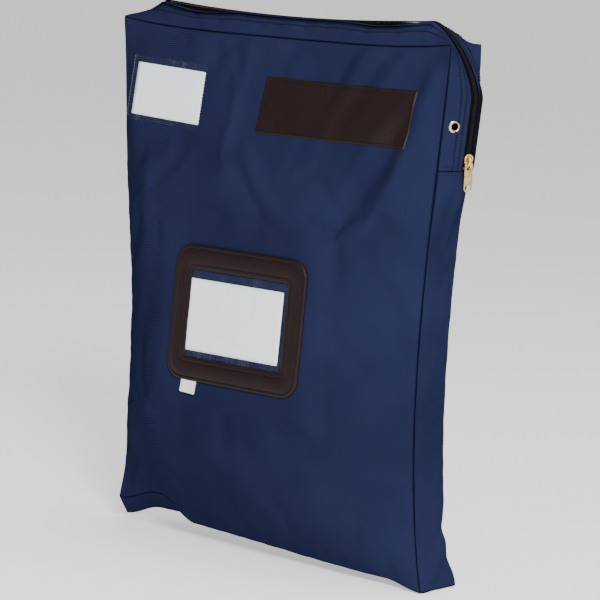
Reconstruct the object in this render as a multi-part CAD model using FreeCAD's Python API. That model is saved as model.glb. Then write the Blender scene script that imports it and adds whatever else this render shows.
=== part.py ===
"""Zipped, gusseted deposit bag in coated nylon, stuffed, with its zip closed.

Millimetres. +Z is up, the front of the bag faces -Y and the zip's closed end is on the right, +X.
The origin is at the bottom centre of the whole bag. Every fabric piece is a thin sheet whose inner
face follows the bag's shape functions below, so neighbouring pieces meet along the seams.
"""

import FreeCAD
import Part

import math
import os

from FreeCAD import Vector

# ---- Driving dimensions ----
PANEL_WIDTH = 408.0          # side seam to side seam at the corners
PANEL_HEIGHT = 540.0         # bottom seam to top seam
GUSSET_DEPTH = 54.0          # strip that joins the front panel to the back panel
FRONT_BULGE = 63.0           # how far the stuffing pushes the front panel past its seams
BACK_BULGE = 45.0            # the same for the back panel
BELLY_HEIGHT = 0.28          # height of the fullest place, as a share of the panel's height
CENTRE = Vector(-7.0, 9.0, 1.0)    # middle of the gusset: front belly and zip stand out more

FABRIC = 1.0                 # coated nylon with its seam allowance
TAPE = 0.6                   # zip tape
FILM = 0.5                   # clear vinyl
FILM_GAP = 0.02              # between the window's film and the leatherette sewn over it
CARD = 0.4                   # paper card
LEATHER = 1.6                # leatherette with its turned edge

SIDE_PULL_FRONT = 18.0       # the side seams pull in between the corners
SIDE_PULL_BACK = 24.0
TOP_SAG = 8.0                # the top seam hangs a little between its corners
CORNER_LIFT = 32.0           # the bottom front left corner is folded up
LIFT_START = -110.0          # that fold begins here, from the middle of the panel
LEFT_SEAM_TOP_Y = -20.0      # the left gusset closes up towards the bottom
LEFT_SEAM_BOTTOM_Y = -3.0

ZIP_LOW = Vector(211.5, 0.0, 418.0)      # closed end of the zip, at the cross seam on the side
ZIP_HIGH = Vector(217.5, 0.0, 488.0)     # the zip runs straight up the side to here
ZIP_TOP_RIGHT = Vector(165.0, 0.0, 557.0)
ZIP_CORNER_POWER = 1.38      # above 1 the zip cuts the corner more than an ellipse would
ZIP_TOP_MIDDLE_HEIGHT = 551.0
ZIP_TOP_LEFT_X = -182.0
ZIP_FACING = 60.0            # on the side the zip faces 60 degrees from the front, to the right
SLOT_HALF = 6.0              # half width of the slot between the two fabric strips
COIL_GAP = 0.45              # from the zip's middle line to each coil
COIL_HALF = 2.3
COIL_HEIGHT = 2.0
TAPE_EDGE = 5.1              # each tape reaches from its coil to here, just short of the strip
COIL_START = 422.2           # the coils begin above the top stops

SLIDER_HEIGHT = 428.0        # middle of the slider with the zip closed
SLIDER_LENGTH = 11.0
SLIDER_HALF_WIDTH = 4.6
SLIDER_CORNER = 2.0
SLIDER_PLATE = 1.2
SLIDER_WALL = 0.8            # flanks that close the plates round the coils
SLIDER_MOUTH = 2.5           # the flanks stop this far from both ends
SLIDER_CLEARANCE = 0.3
DIVIDER_LENGTH = 3.0         # post between the coils, at the slider's lower end
DIVIDER_HALF = 0.25
STOP_HEIGHT = 420.2          # crimped top stops, between the cross seam and the slider
STOP_LENGTH = 2.4
STOP_WEB = 0.9
STOP_REACH = 4.7
STOP_HALF = 1.2
STOP_GAP = 0.05              # between a stop's jaws and the tape they hold
BAIL_LENGTH = 9.0
BAIL_WIDTH = 2.0
BAIL_BAR = 1.2
BAIL_OPENING = 2.2
BOTTOM_STOP_FROM_END = 6.0
BOTTOM_STOP_SIZE = (3.0, 5.8)
BOTTOM_STOP_LIFT = 0.15
BOTTOM_STOP_THICKNESS = 0.85

PULL_LENGTH = 29.5
PULL_WIDTH = 8.2
PULL_THICKNESS = 1.2
PULL_CORNER = 3.0
PULL_ABOVE_HINGE = 0.8       # the tab's top edge, above its hinge
PULL_HINGE_DROP = 1.0        # the tab's pin hangs this far from the bail's lower leg
PULL_HOLE = 3.2              # radius of the round hole at the pull's free end
PULL_HOLE_RING = 1.3         # metal between that hole and the end
PULL_PIN = 0.75              # radius of the round bar at the top of the eye
PULL_EYE = 5.0               # inner length of the eye that goes round the bail
PULL_EYE_HALF_WIDTH = 1.5
PULL_EYE_CORNER = 0.8

FRAME_SIZE = (162.0, 135.0)  # leatherette window frame, width and height
FRAME_CORNER = 18.0
FRAME_AT = (0.0, 247.0)
WINDOW_SIZE = (121.0, 89.0)
WINDOW_CORNER = 1.5
WINDOW_FILM_INSET = 10.0     # the film ends this far inside the frame's outer edge
RIM = 3.0                    # sewn edge of a pocket
POCKET_LIFT = 0.3            # a pocket stands this far off the panel
CARD_PLAY = 0.3              # room behind and in front of a card
POCKET_SIZE = (108.0, 67.0)
POCKET_AT = (-130.0, 466.0)
POCKET_TILT = 0.045          # it stands off the panel towards its open top
ADDRESS_CARD = (125.0, 73.0)
ADDRESS_CARD_SHIFT = (-9.5, -0.5)
DEPOSIT_CARD = (98.0, 54.0)
DEPOSIT_CARD_SHIFT = (1.0, -2.0)
PATCH_X = (-3.0, 177.0)
PATCH_Z = (436.0, 493.0)
PATCH_LIFT = 0.9             # the patch is taut and the panel under it isn't
LABEL_SIZE = (19.0, 15.0)
LABEL_THICKNESS = 1.0        # two layers of ribbon
LABEL_X = -58.0              # from the middle of the window frame

EYELET_HEIGHT = 461.0
EYELET_SHARE = 0.49          # place across the strip, from the seam to the slot
EYELET_BORE = 3.4
EYELET_BARREL = 4.0
EYELET_FLANGE = 6.4
EYELET_FLANGE_THICKNESS = 0.8
EYELET_FLANGE_ROUND = 0.35
EYELET_LIP = 5.0
EYELET_STANDOFF = 0.35       # the flange is flat and the strip under it is slightly twisted
EYELET_INSIDE = (-2.8, -2.0)       # rolled lip, below the strip's inner face
WASHER_INSIDE = (-1.9, -1.3)
WASHER_PLAY = 0.1
EYELET_HOLE_PLAY = 0.2

SEAM_GAP = 1.4               # a gusset stops this far short of the panels it is sewn to
SEAM_ALLOWANCE = 10.0        # bound edge inside the bag
BINDING = 1.2
BINDING_START = 2.4
BINDING_ENDS = (0.04, 0.98)  # heights between which it follows the side seams
GUSSET_SWELL_START = 0.80    # the right gusset swells out above this share of its height


# ---- Shape of the stuffed bag ----
def smooth(t):
    """0 before t = 0, 1 after t = 1, and an even blend between."""
    t = min(1.0, max(0.0, t))
    return t * t * (3.0 - 2.0 * t)


def mix(a, b, t):
    return a + (b - a) * t


def side_pull(height, amount):
    """How far a side seam is pulled in at a height from 0 to 1, most at two fifths up."""
    return amount * max(0.0, math.sin(math.pi * min(1.0, height) ** 0.72)) ** 1.2


def fullness(height):
    """How full the bag is at a height from 0 to 1: 0 at both seams, 1 at the belly."""
    if height > BELLY_HEIGHT:
        return 1.0 - ((height - BELLY_HEIGHT) / (1.0 - BELLY_HEIGHT)) ** 1.8
    return 1.0 - ((BELLY_HEIGHT - height) / BELLY_HEIGHT) ** 2.2


def crown(across):
    """Cross-section of a stuffed panel, flat in the middle: across runs from -1 to 1."""
    return 1.0 - abs(across) ** 3.4


def side_seam(side, face, height):
    """A point on a side seam: side -1 left or 1 right, face -1 front or 1 back."""
    amount = SIDE_PULL_FRONT if face < 0 else SIDE_PULL_BACK
    x = side * (PANEL_WIDTH / 2 - side_pull(height, amount))
    y = face * GUSSET_DEPTH / 2
    if side < 0 and face < 0:
        y = mix(LEFT_SEAM_BOTTOM_Y, LEFT_SEAM_TOP_Y, height)
    z = mix(bottom_seam_z(x, face), PANEL_HEIGHT, height)
    return Vector(x, y, z)


def bottom_seam_z(x, face):
    if face > 0:
        return 0.0
    return CORNER_LIFT * smooth((LIFT_START - x) / (PANEL_WIDTH / 2 + LIFT_START))


def top_seam_z(x):
    return PANEL_HEIGHT - TOP_SAG * (1.0 - (2.0 * x / PANEL_WIDTH) ** 4)


def panel_at(face, x, z):
    """The point of the front (face -1) or back (face 1) panel's inner face at a place x, z."""
    low = bottom_seam_z(x, face)
    height = (z - low) / (top_seam_z(x) - low)
    left = side_seam(-1, face, height)
    right = side_seam(1, face, height)
    share = (x - left.x) / (right.x - left.x)
    bulge = FRONT_BULGE if face < 0 else BACK_BULGE
    y = mix(left.y, right.y, share) + face * bulge * crown(2.0 * share - 1.0) * fullness(height)
    return Vector(x, y, z)


def panel_point(face, across, height):
    """The same surface, from -1 to 1 across and 0 to 1 up."""
    left = side_seam(-1, face, height)
    right = side_seam(1, face, height)
    x = mix(left.x, right.x, (across + 1.0) / 2.0)
    z = mix(bottom_seam_z(x, face), top_seam_z(x), height)
    z = mix(z, side_seam(-1 if across < 0 else 1, face, height).z, abs(across) ** 8)
    bulge = FRONT_BULGE if face < 0 else BACK_BULGE
    y = mix(left.y, right.y, (across + 1.0) / 2.0) + face * bulge * crown(across) * fullness(height)
    return Vector(x, y, z)


# ---- Solids ----
def curved_sheet(point, count_u, count_v, thickness):
    """A smooth sheet through point(u, v), u and v from 0 to 1, thickened along its normal."""
    grid = []
    for i in range(count_u + 1):
        grid.append([point(i / count_u, j / count_v) for j in range(count_v + 1)])
    surface = Part.BSplineSurface()
    surface.interpolate(grid)
    return surface.toShape().makeOffsetShape(thickness, 0.01, fill=True)


def strip(sections):
    """A ruled solid through flat four-cornered sections."""
    wires = [Part.makePolygon(list(corners) + [corners[0]]) for corners in sections]
    return Part.makeLoft(wires, True, True)


def plate(frame, centre, size, low, high, corner=0.0):
    """A flat plate in a frame of (origin, across, up, out), from low to high along out."""
    origin, across, up, out = frame
    half_w, half_h = size[0] / 2, size[1] / 2
    middle = origin + across * centre[0] + up * centre[1] + out * low
    points = []
    for a, b in ((-1, -1), (1, -1), (1, 1), (-1, 1)):
        points.append(middle + across * (a * half_w) + up * (b * half_h))
    solid = Part.Face(Part.makePolygon(points + [points[0]])).extrude(out * (high - low))
    if corner > 0.0:
        upright = [e for e in solid.Edges if e.tangentAt(e.FirstParameter).cross(out).Length < 1e-6]
        solid = solid.makeFillet(corner, upright)
    return solid


def ring(centre, axis, inner, outer, low, high):
    start = centre + axis * low
    body = Part.makeCylinder(outer, high - low, start, axis)
    return body.cut(Part.makeCylinder(inner, high - low, start, axis))


def tangent_frame(x, z, lift):
    """A flat frame that touches the front panel at x, z and stands off it by lift."""
    step = 1.0
    here = panel_at(-1, x, z)
    across = (panel_at(-1, x + step, z) - panel_at(-1, x - step, z)).normalize()
    slope = panel_at(-1, x, z + step) - panel_at(-1, x, z - step)
    out = across.cross(slope).normalize()
    up = out.cross(across).normalize()
    return here + out * lift, across, up, out


# ---- Fabric shell ----
def front_panel():
    return curved_sheet(lambda u, v: panel_point(-1, 2 * u - 1, v), 12, 14, -FABRIC)


def back_panel():
    return curved_sheet(lambda u, v: panel_point(1, 2 * u - 1, v), 12, 14, FABRIC)


def across_gusset(side, height, share):
    """A point of a side gusset between its two seams, share from 0 at the front to 1."""
    front = side_seam(side, -1, height)
    back = side_seam(side, 1, height)
    gap = SEAM_GAP / (back - front).Length
    return front + (back - front) * mix(gap, 1.0 - gap, share)


def left_gusset():
    return curved_sheet(lambda u, v: across_gusset(-1, v, u), 2, 12, FABRIC)


def right_gusset():
    """It ends at the cross seam, where it swells out to meet the zip."""
    top = (ZIP_LOW.z - SEAM_GAP) / PANEL_HEIGHT
    reach = ZIP_LOW.x - side_seam(1, -1, top).x

    def point(u, v):
        rise = smooth((v - GUSSET_SWELL_START) / (1.0 - GUSSET_SWELL_START))
        swell = reach * rise * (1.0 - (2 * u - 1) ** 2)
        return across_gusset(1, v * top, u) + Vector(swell, 0, 0)
    return curved_sheet(point, 6, 16, -FABRIC)


def bottom_seam_y(x):
    """The front bottom seam runs back towards the left, where the gusset closes up."""
    return mix(LEFT_SEAM_BOTTOM_Y, -GUSSET_DEPTH / 2, x / PANEL_WIDTH + 0.5)


def bottom_gusset():
    """Flat, so that the bag stands, except where its front left corner is folded up."""
    half = PANEL_WIDTH / 2 - SEAM_GAP
    depth = GUSSET_DEPTH / 2 - SEAM_GAP
    down = Vector(0, 0, -FABRIC)
    corners = [Vector(x, bottom_seam_y(x) + SEAM_GAP, 0) for x in (LIFT_START, half)]
    corners += [Vector(half, depth, 0), Vector(LIFT_START, depth, 0)]
    solid = Part.Face(Part.makePolygon(corners + [corners[0]])).extrude(down)
    sections = []
    fold_steps = 6
    for i in range(fold_steps + 1):
        x = mix(LIFT_START, -half, i / fold_steps)
        front = Vector(x, bottom_seam_y(x) + SEAM_GAP, bottom_seam_z(x, -1))
        back = Vector(x, depth, 0)
        sections.append((front, back, back + down, front + down))
    return solid.fuse(strip(sections)).removeSplitter()


def zip_side(z):
    return ZIP_LOW + (ZIP_HIGH - ZIP_LOW) * ((z - ZIP_LOW.z) / (ZIP_HIGH.z - ZIP_LOW.z))


def zip_stations(start=ZIP_LOW.z):
    """Along the zip, from its closed end: its middle, the way across it, and both seam points."""
    facing = math.radians(ZIP_FACING)
    side_across = Vector(math.cos(facing), math.sin(facing), 0)
    depth = GUSSET_DEPTH / 2
    stations = []
    for z in (start, EYELET_HEIGHT, ZIP_HIGH.z):
        front = side_seam(1, -1, z / PANEL_HEIGHT)
        back = side_seam(1, 1, z / PANEL_HEIGHT)
        stations.append((zip_side(z), side_across, front, back))
    corner_steps = 12
    for i in range(1, corner_steps + 1):
        angle = math.radians(90.0 * i / corner_steps)
        turn = smooth(i / corner_steps)
        x = mix(ZIP_TOP_RIGHT.x, ZIP_HIGH.x, max(0.0, math.cos(angle)) ** ZIP_CORNER_POWER)
        z = mix(ZIP_HIGH.z, ZIP_TOP_RIGHT.z, math.sin(angle) ** ZIP_CORNER_POWER)
        across = (side_across * (1.0 - turn) + Vector(0, 1, 0) * turn).normalize()
        past_corner = 2.0 * i / corner_steps - 1.0
        if past_corner <= 0.0:
            seam_z = mix(PANEL_HEIGHT, ZIP_HIGH.z, -past_corner)
            front = side_seam(1, -1, seam_z / PANEL_HEIGHT)
            back = side_seam(1, 1, seam_z / PANEL_HEIGHT)
        else:
            seam_x = mix(PANEL_WIDTH / 2, ZIP_TOP_RIGHT.x, past_corner)
            front = Vector(seam_x, -depth, top_seam_z(seam_x))
            back = Vector(seam_x, depth, top_seam_z(seam_x))
        stations.append((Vector(x, 0, z), across, front, back))
    top_steps = 8
    for i in range(1, top_steps + 1):
        x = mix(ZIP_TOP_RIGHT.x, ZIP_TOP_LEFT_X, i / top_steps)
        rise = (ZIP_TOP_RIGHT.z - ZIP_TOP_MIDDLE_HEIGHT) * (x / ZIP_TOP_RIGHT.x) ** 2
        share = (x + PANEL_WIDTH / 2) / PANEL_WIDTH
        front = Vector(x, mix(LEFT_SEAM_TOP_Y, -depth, share), top_seam_z(x))
        back = Vector(x, depth, top_seam_z(x))
        stations.append((Vector(x, 0, ZIP_TOP_MIDDLE_HEIGHT + rise), Vector(0, 1, 0), front, back))
    return stations


def station_out(index, stations):
    """The zip's outward direction at a station."""
    before = stations[max(0, index - 1)][0]
    after = stations[min(len(stations) - 1, index + 1)][0]
    return stations[index][1].cross(after - before).normalize()


def zip_strip(side):
    """Fabric between the seam and the zip: side -1 front or 1 back."""
    stations = zip_stations()
    sections = []
    for i, (middle, across, front, back) in enumerate(stations):
        edge = middle + across * (side * SLOT_HALF)
        root = front if side < 0 else back
        along = station_out(i, stations).cross(across)
        out = (edge - root).cross(along).normalize() * side
        sections.append((root, edge, edge + out * FABRIC, root + out * FABRIC))
    corner = Vector(-PANEL_WIDTH / 2, LEFT_SEAM_TOP_Y if side < 0 else GUSSET_DEPTH / 2, PANEL_HEIGHT)
    middle = Vector(-PANEL_WIDTH / 2, side * 0.2, PANEL_HEIGHT)
    thickness = Vector(0, 0, FABRIC)
    sections.append((corner, middle, middle + thickness, corner + thickness))
    return strip(sections)


def zip_band(near, far, low, high, start=ZIP_LOW.z):
    """A band beside the zip's middle line, from near to far across it, low to high outward."""
    stations = zip_stations(start)
    sections = []
    for i, station in enumerate(stations):
        middle, across = station[:2]
        out = station_out(i, stations)
        a, b = middle + across * near, middle + across * far
        sections.append((a + out * low, b + out * low, b + out * high, a + out * high))
    return strip(sections)


def zip_tape(side):
    """Woven tape from the coil to under the fabric strip, on the inside."""
    return zip_band(side * (COIL_HALF + 0.1), side * TAPE_EDGE, -TAPE / 2, TAPE / 2)


def zip_coil(side):
    half = COIL_HEIGHT / 2
    return zip_band(side * COIL_GAP, side * COIL_HALF, -half, half, COIL_START)


def seam_binding(face):
    """Tape that binds the seam allowance inside the bag, right round the panel."""
    low, high = BINDING_ENDS
    right, up = Vector(1, 0, 0), Vector(0, 0, 1)
    steps = 8
    stations = []
    for i in range(steps + 1):
        stations.append((side_seam(-1, face, mix(low, high, i / steps)), right))
    stations.append((side_seam(-1, face, 1.0), right - up))
    for i in range(1, steps):
        x = PANEL_WIDTH * (i / steps - 0.5)
        y = mix(side_seam(-1, face, 1.0).y, face * GUSSET_DEPTH / 2, i / steps)
        stations.append((Vector(x, y, top_seam_z(x)), -up))
    stations.append((side_seam(1, face, 1.0), -right - up))
    for i in range(steps + 1):
        stations.append((side_seam(1, face, mix(high, low, i / steps)), -right))
    stations.append((side_seam(1, face, 0.0), up - right))
    for i in range(1, steps):
        x = mix(PANEL_WIDTH / 2, LIFT_START, i / steps)
        y = bottom_seam_y(x) if face < 0 else GUSSET_DEPTH / 2
        stations.append((Vector(x, y, 0), up))
    depth = Vector(0, -face * BINDING, 0)
    sections = []
    for point, inward in stations:
        base = point + Vector(0, -face * BINDING_START, 0)
        near, far = base + inward * BINDING_START, base + inward * SEAM_ALLOWANCE
        sections.append((near, far, far + depth, near + depth))
    return strip(sections)


# ---- Zip hardware ----
def slider_frame(height):
    """The slider's frame: middle, across the zip, along the zip and outward."""
    facing = math.radians(ZIP_FACING)
    along = (ZIP_HIGH - ZIP_LOW).normalize()
    out = Vector(math.cos(facing), math.sin(facing), 0).cross(along).normalize()
    return zip_side(height), along.cross(out), along, out


def slider_body():
    """Two plates round the coils, joined by a thin divider, with a bail for the pull."""
    frame = slider_frame(SLIDER_HEIGHT)
    inside = COIL_HEIGHT / 2 + SLIDER_CLEARANCE
    outside = inside + SLIDER_PLATE
    lip = TAPE / 2 + SLIDER_CLEARANCE
    wall_middle = SLIDER_HALF_WIDTH - SLIDER_WALL / 2
    wall_size = (SLIDER_WALL, SLIDER_LENGTH - 2 * SLIDER_MOUTH)
    size = (2 * SLIDER_HALF_WIDTH, SLIDER_LENGTH)
    solids = []
    for side in (-1, 1):
        low, high = sorted((side * inside, side * outside))
        solids.append(plate(frame, (0, 0), size, low, high, corner=SLIDER_CORNER))
        low, high = sorted((side * lip, side * inside))
        for flank in (-1, 1):
            solids.append(plate(frame, (flank * wall_middle, 0), wall_size, low, high))
    divider_at = (0, (DIVIDER_LENGTH - SLIDER_LENGTH) / 2)
    solids.append(plate(frame, divider_at, (2 * DIVIDER_HALF, DIVIDER_LENGTH), -inside, inside))
    leg = BAIL_LENGTH / 2 - BAIL_BAR / 2
    for end in (-1, 1):
        solids.append(plate(frame, (0, end * leg), (BAIL_WIDTH, BAIL_BAR), outside,
                            outside + BAIL_OPENING))
    solids.append(plate(frame, (0, 0), (BAIL_WIDTH, BAIL_LENGTH), outside + BAIL_OPENING,
                        outside + BAIL_OPENING + BAIL_BAR))
    return solids[0].multiFuse(solids[1:]).removeSplitter()


def pull_hinge():
    """Middle of the pull's top bar, under the bail."""
    origin, across, along, out = slider_frame(SLIDER_HEIGHT)
    lift = COIL_HEIGHT / 2 + SLIDER_CLEARANCE + SLIDER_PLATE + BAIL_OPENING / 2
    return origin + out * lift - along * (BAIL_LENGTH / 2 - BAIL_BAR - PULL_HINGE_DROP)


def pull_tab():
    """A stamped tab that hangs straight down: an eye round the bail, then a plate with a hole."""
    facing = math.radians(ZIP_FACING)
    across = Vector(math.cos(facing), math.sin(facing), 0)
    up = Vector(0, 0, 1)
    out = across.cross(up)
    frame = (pull_hinge(), across, up, out)
    half = PULL_THICKNESS / 2
    middle = (0, PULL_ABOVE_HINGE - PULL_LENGTH / 2)
    body = plate(frame, middle, (PULL_WIDTH, PULL_LENGTH), -half, half, corner=PULL_CORNER)
    eye_middle = (0, -PULL_PIN / 2 - PULL_EYE / 2)
    eye_size = (2 * PULL_EYE_HALF_WIDTH, PULL_EYE)
    eye = plate(frame, eye_middle, eye_size, -2 * half, 2 * half, corner=PULL_EYE_CORNER)
    hole_height = PULL_ABOVE_HINGE - PULL_LENGTH + PULL_HOLE + PULL_HOLE_RING
    hole_start = pull_hinge() + up * hole_height - out * 2 * half
    hole = Part.makeCylinder(PULL_HOLE, 4 * half, hole_start, out)
    pin_start = pull_hinge() - across * PULL_EYE_HALF_WIDTH
    pin = Part.makeCylinder(PULL_PIN, 2 * PULL_EYE_HALF_WIDTH, pin_start, across)
    return body.cut(eye).cut(hole).fuse(pin)


def zip_top_stops():
    """One metal stop crimped on each tape, below the closed slider."""
    frame = slider_frame(STOP_HEIGHT)
    inner, outer = COIL_HALF - STOP_WEB, STOP_REACH
    middle = (inner + outer) / 2
    grip = TAPE / 2 + STOP_GAP
    stops = []
    for side in (-1, 1):
        web = (side * (inner + STOP_WEB / 2), 0)
        stop = plate(frame, web, (STOP_WEB, STOP_LENGTH), -STOP_HALF, STOP_HALF)
        for low, high in ((grip, STOP_HALF), (-STOP_HALF, -grip)):
            jaw = plate(frame, (side * middle, 0), (outer - inner, STOP_LENGTH), low, high)
            stop = stop.fuse(jaw)
        stops.append(stop.removeSplitter())
    return stops


def zip_bottom_stop():
    """A metal bridge across both coils at the far end of the zip."""
    x = ZIP_TOP_LEFT_X + BOTTOM_STOP_FROM_END
    rise = (ZIP_TOP_RIGHT.z - ZIP_TOP_MIDDLE_HEIGHT) * (x / ZIP_TOP_RIGHT.x) ** 2
    middle = Vector(x, 0, ZIP_TOP_MIDDLE_HEIGHT + rise)
    frame = (middle, Vector(1, 0, 0), Vector(0, 1, 0), Vector(0, 0, 1))
    low = COIL_HEIGHT / 2 + BOTTOM_STOP_LIFT
    return plate(frame, (0, 0), BOTTOM_STOP_SIZE, low, low + BOTTOM_STOP_THICKNESS, corner=0.8)


# ---- Eyelet ----
def eyelet_place():
    """Centre on the strip's inner face, and the way out of the strip."""
    facing = math.radians(ZIP_FACING)
    root = side_seam(1, -1, EYELET_HEIGHT / PANEL_HEIGHT)
    edge = zip_side(EYELET_HEIGHT) - Vector(math.cos(facing), math.sin(facing), 0) * SLOT_HALF
    along = (ZIP_HIGH - ZIP_LOW).normalize()
    return root + (edge - root) * EYELET_SHARE, (edge - root).cross(along).normalize()


def eyelet():
    centre, out = eyelet_place()
    face = FABRIC + EYELET_STANDOFF
    top = face + EYELET_FLANGE_THICKNESS
    barrel = ring(centre, out, EYELET_BORE, EYELET_BARREL, EYELET_INSIDE[0], top)
    flange = ring(centre, out, EYELET_BORE, EYELET_FLANGE, face, top)
    rim = [e for e in flange.Edges if abs(e.Length - 2 * math.pi * EYELET_FLANGE) < 0.1]
    flange = flange.makeFillet(EYELET_FLANGE_ROUND, rim[:1])
    lip = ring(centre, out, EYELET_BORE, EYELET_LIP, *EYELET_INSIDE)
    return barrel.multiFuse([flange, lip]).removeSplitter()


def eyelet_washer():
    centre, out = eyelet_place()
    return ring(centre, out, EYELET_BARREL + WASHER_PLAY, EYELET_FLANGE - WASHER_PLAY, *WASHER_INSIDE)


# ---- Pockets, patch and labels on the front ----
def leather_patch():
    lift = FABRIC + PATCH_LIFT

    def point(u, v):
        place = panel_at(-1, mix(PATCH_X[0], PATCH_X[1], u), mix(PATCH_Z[0], PATCH_Z[1], v))
        return place - Vector(0, lift, 0)
    return curved_sheet(point, 6, 4, -LEATHER)


def pocket_frame():
    """The flat of the card pocket, tilted about its lower edge away from the panel."""
    origin, across, up, out = tangent_frame(*POCKET_AT, FABRIC + POCKET_LIFT)
    hem = origin - up * (POCKET_SIZE[1] / 2)
    up = (up + out * POCKET_TILT).normalize()
    return hem + up * (POCKET_SIZE[1] / 2), across, up, across.cross(up)


def window_stack():
    """Heights above the frame's flat: card bottom, film bottom, leather bottom and leather top."""
    card = CARD_PLAY
    film = card + CARD + CARD_PLAY
    leather = film + FILM
    return card, film, leather, leather + LEATHER


def pocket_rim(frame, size, open_side, low, high):
    """The sewn edge on three sides of a pocket, open on the left or at the top."""
    w, h = size
    edges = {
        "left": ((RIM / 2 - w / 2, 0), (RIM, h)),
        "right": ((w / 2 - RIM / 2, 0), (RIM, h)),
        "bottom": ((0, RIM / 2 - h / 2), (w, RIM)),
        "top": ((0, h / 2 - RIM / 2), (w, RIM)),
    }
    return [plate(frame, centre, span, low, high)
            for name, (centre, span) in edges.items() if name != open_side]


def window_frame():
    """Rounded leatherette frame round the window, sewn down except on the left."""
    frame = tangent_frame(*FRAME_AT, FABRIC + POCKET_LIFT)
    leather, top = window_stack()[2:]
    outer = plate(frame, (0, 0), FRAME_SIZE, leather, top, corner=FRAME_CORNER)
    window = plate(frame, (0, 0), WINDOW_SIZE, leather - 1, top + 1, corner=WINDOW_CORNER)
    rims = pocket_rim(frame, FRAME_SIZE, "left", 0.0, leather)
    outline = plate(frame, (0, 0), FRAME_SIZE, 0.0, leather, corner=FRAME_CORNER)
    rims = [rim.common(outline) for rim in rims]
    return outer.cut(window).multiFuse(rims).removeSplitter()


def window_film():
    frame = tangent_frame(*FRAME_AT, FABRIC + POCKET_LIFT)
    film, leather = window_stack()[1:3]
    size = (FRAME_SIZE[0] - 2 * WINDOW_FILM_INSET, FRAME_SIZE[1] - 2 * WINDOW_FILM_INSET)
    return plate(frame, (0, 0), size, film, leather - FILM_GAP)


def address_card():
    frame = tangent_frame(*FRAME_AT, FABRIC + POCKET_LIFT)
    card = window_stack()[0]
    return plate(frame, ADDRESS_CARD_SHIFT, ADDRESS_CARD, card, card + CARD)


def card_pocket():
    """Clear vinyl pocket, sewn down on three sides and open at the top."""
    frame = pocket_frame()
    low = CARD_PLAY + CARD + CARD_PLAY
    front = plate(frame, (0, 0), POCKET_SIZE, low, low + FILM)
    return front.multiFuse(pocket_rim(frame, POCKET_SIZE, "top", 0.0, low)).removeSplitter()


def deposit_card():
    frame = pocket_frame()
    return plate(frame, DEPOSIT_CARD_SHIFT, DEPOSIT_CARD, CARD_PLAY, CARD_PLAY + CARD)


def label_tab():
    """A folded strip of white ribbon, held by the stitching of the frame's lower edge."""
    frame = tangent_frame(*FRAME_AT, FABRIC + POCKET_LIFT)
    middle = -FRAME_SIZE[1] / 2 - LABEL_SIZE[1] / 2
    return plate(frame, (LABEL_X, middle), LABEL_SIZE, 0.0, LABEL_THICKNESS)


def main():
    eyelet_centre, eyelet_out = eyelet_place()
    hole_start = eyelet_centre - eyelet_out * 4.0
    hole = Part.makeCylinder(EYELET_BARREL + EYELET_HOLE_PLAY, 8.0, hole_start, eyelet_out)
    nodes = {
        "front_panel": front_panel(),
        "back_panel": back_panel(),
        "left_gusset": left_gusset(),
        "right_gusset": right_gusset(),
        "bottom_gusset": bottom_gusset(),
        "front_zip_strip": zip_strip(-1).cut(hole),
        "back_zip_strip": zip_strip(1),
        "front_zip_tape": zip_tape(-1),
        "back_zip_tape": zip_tape(1),
        "front_zip_coil": zip_coil(-1),
        "back_zip_coil": zip_coil(1),
        "zip_top_stops": Part.makeCompound(zip_top_stops()),
        "zip_bottom_stop": zip_bottom_stop(),
        "zip_slider": slider_body(),
        "pull_tab": pull_tab(),
        "eyelet": eyelet(),
        "eyelet_washer": eyelet_washer(),
        "leather_patch": leather_patch(),
        "window_frame": window_frame(),
        "window_film": window_film(),
        "address_card": address_card(),
        "card_pocket": card_pocket(),
        "deposit_card": deposit_card(),
        "label_tab": label_tab(),
        "front_seam_binding": seam_binding(-1),
        "back_seam_binding": seam_binding(1),
    }
    os.makedirs("parts", exist_ok=True)
    for name, shape in nodes.items():
        shape.translate(CENTRE)
        shape.exportStep("parts/" + name + ".step")
        box = shape.BoundBox
        print(name, shape.isValid(), len(shape.Solids), round(shape.Volume / 1000.0, 2),
              [round(v, 1) for v in (box.XMin, box.XMax, box.YMin, box.YMax, box.ZMin, box.ZMax)])
    hinge = pull_hinge() + CENTRE
    slider = slider_frame(SLIDER_HEIGHT)
    print("slider axis", slider[2], "at", slider[0] + CENTRE)
    print("pull hinge", hinge, "axis", slider[1])
    print("eyelet", eyelet_centre + CENTRE, eyelet_out)
    print("window", tangent_frame(*FRAME_AT, 0.0))
    print("pocket", pocket_frame())


main()
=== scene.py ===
"""Looks of the zipped deposit bag: nylon shell, zip, pockets, patch, brass parts, floor, light, camera.

Shapes are worked out in millimetres round the middle of the gusset, as in the CAD source, and
place() turns them into metres in the frame of the CAD model.
"""

import math

import bmesh
import bpy
from mathutils import Matrix, Vector, noise
from mathutils.bvhtree import BVHTree


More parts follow.
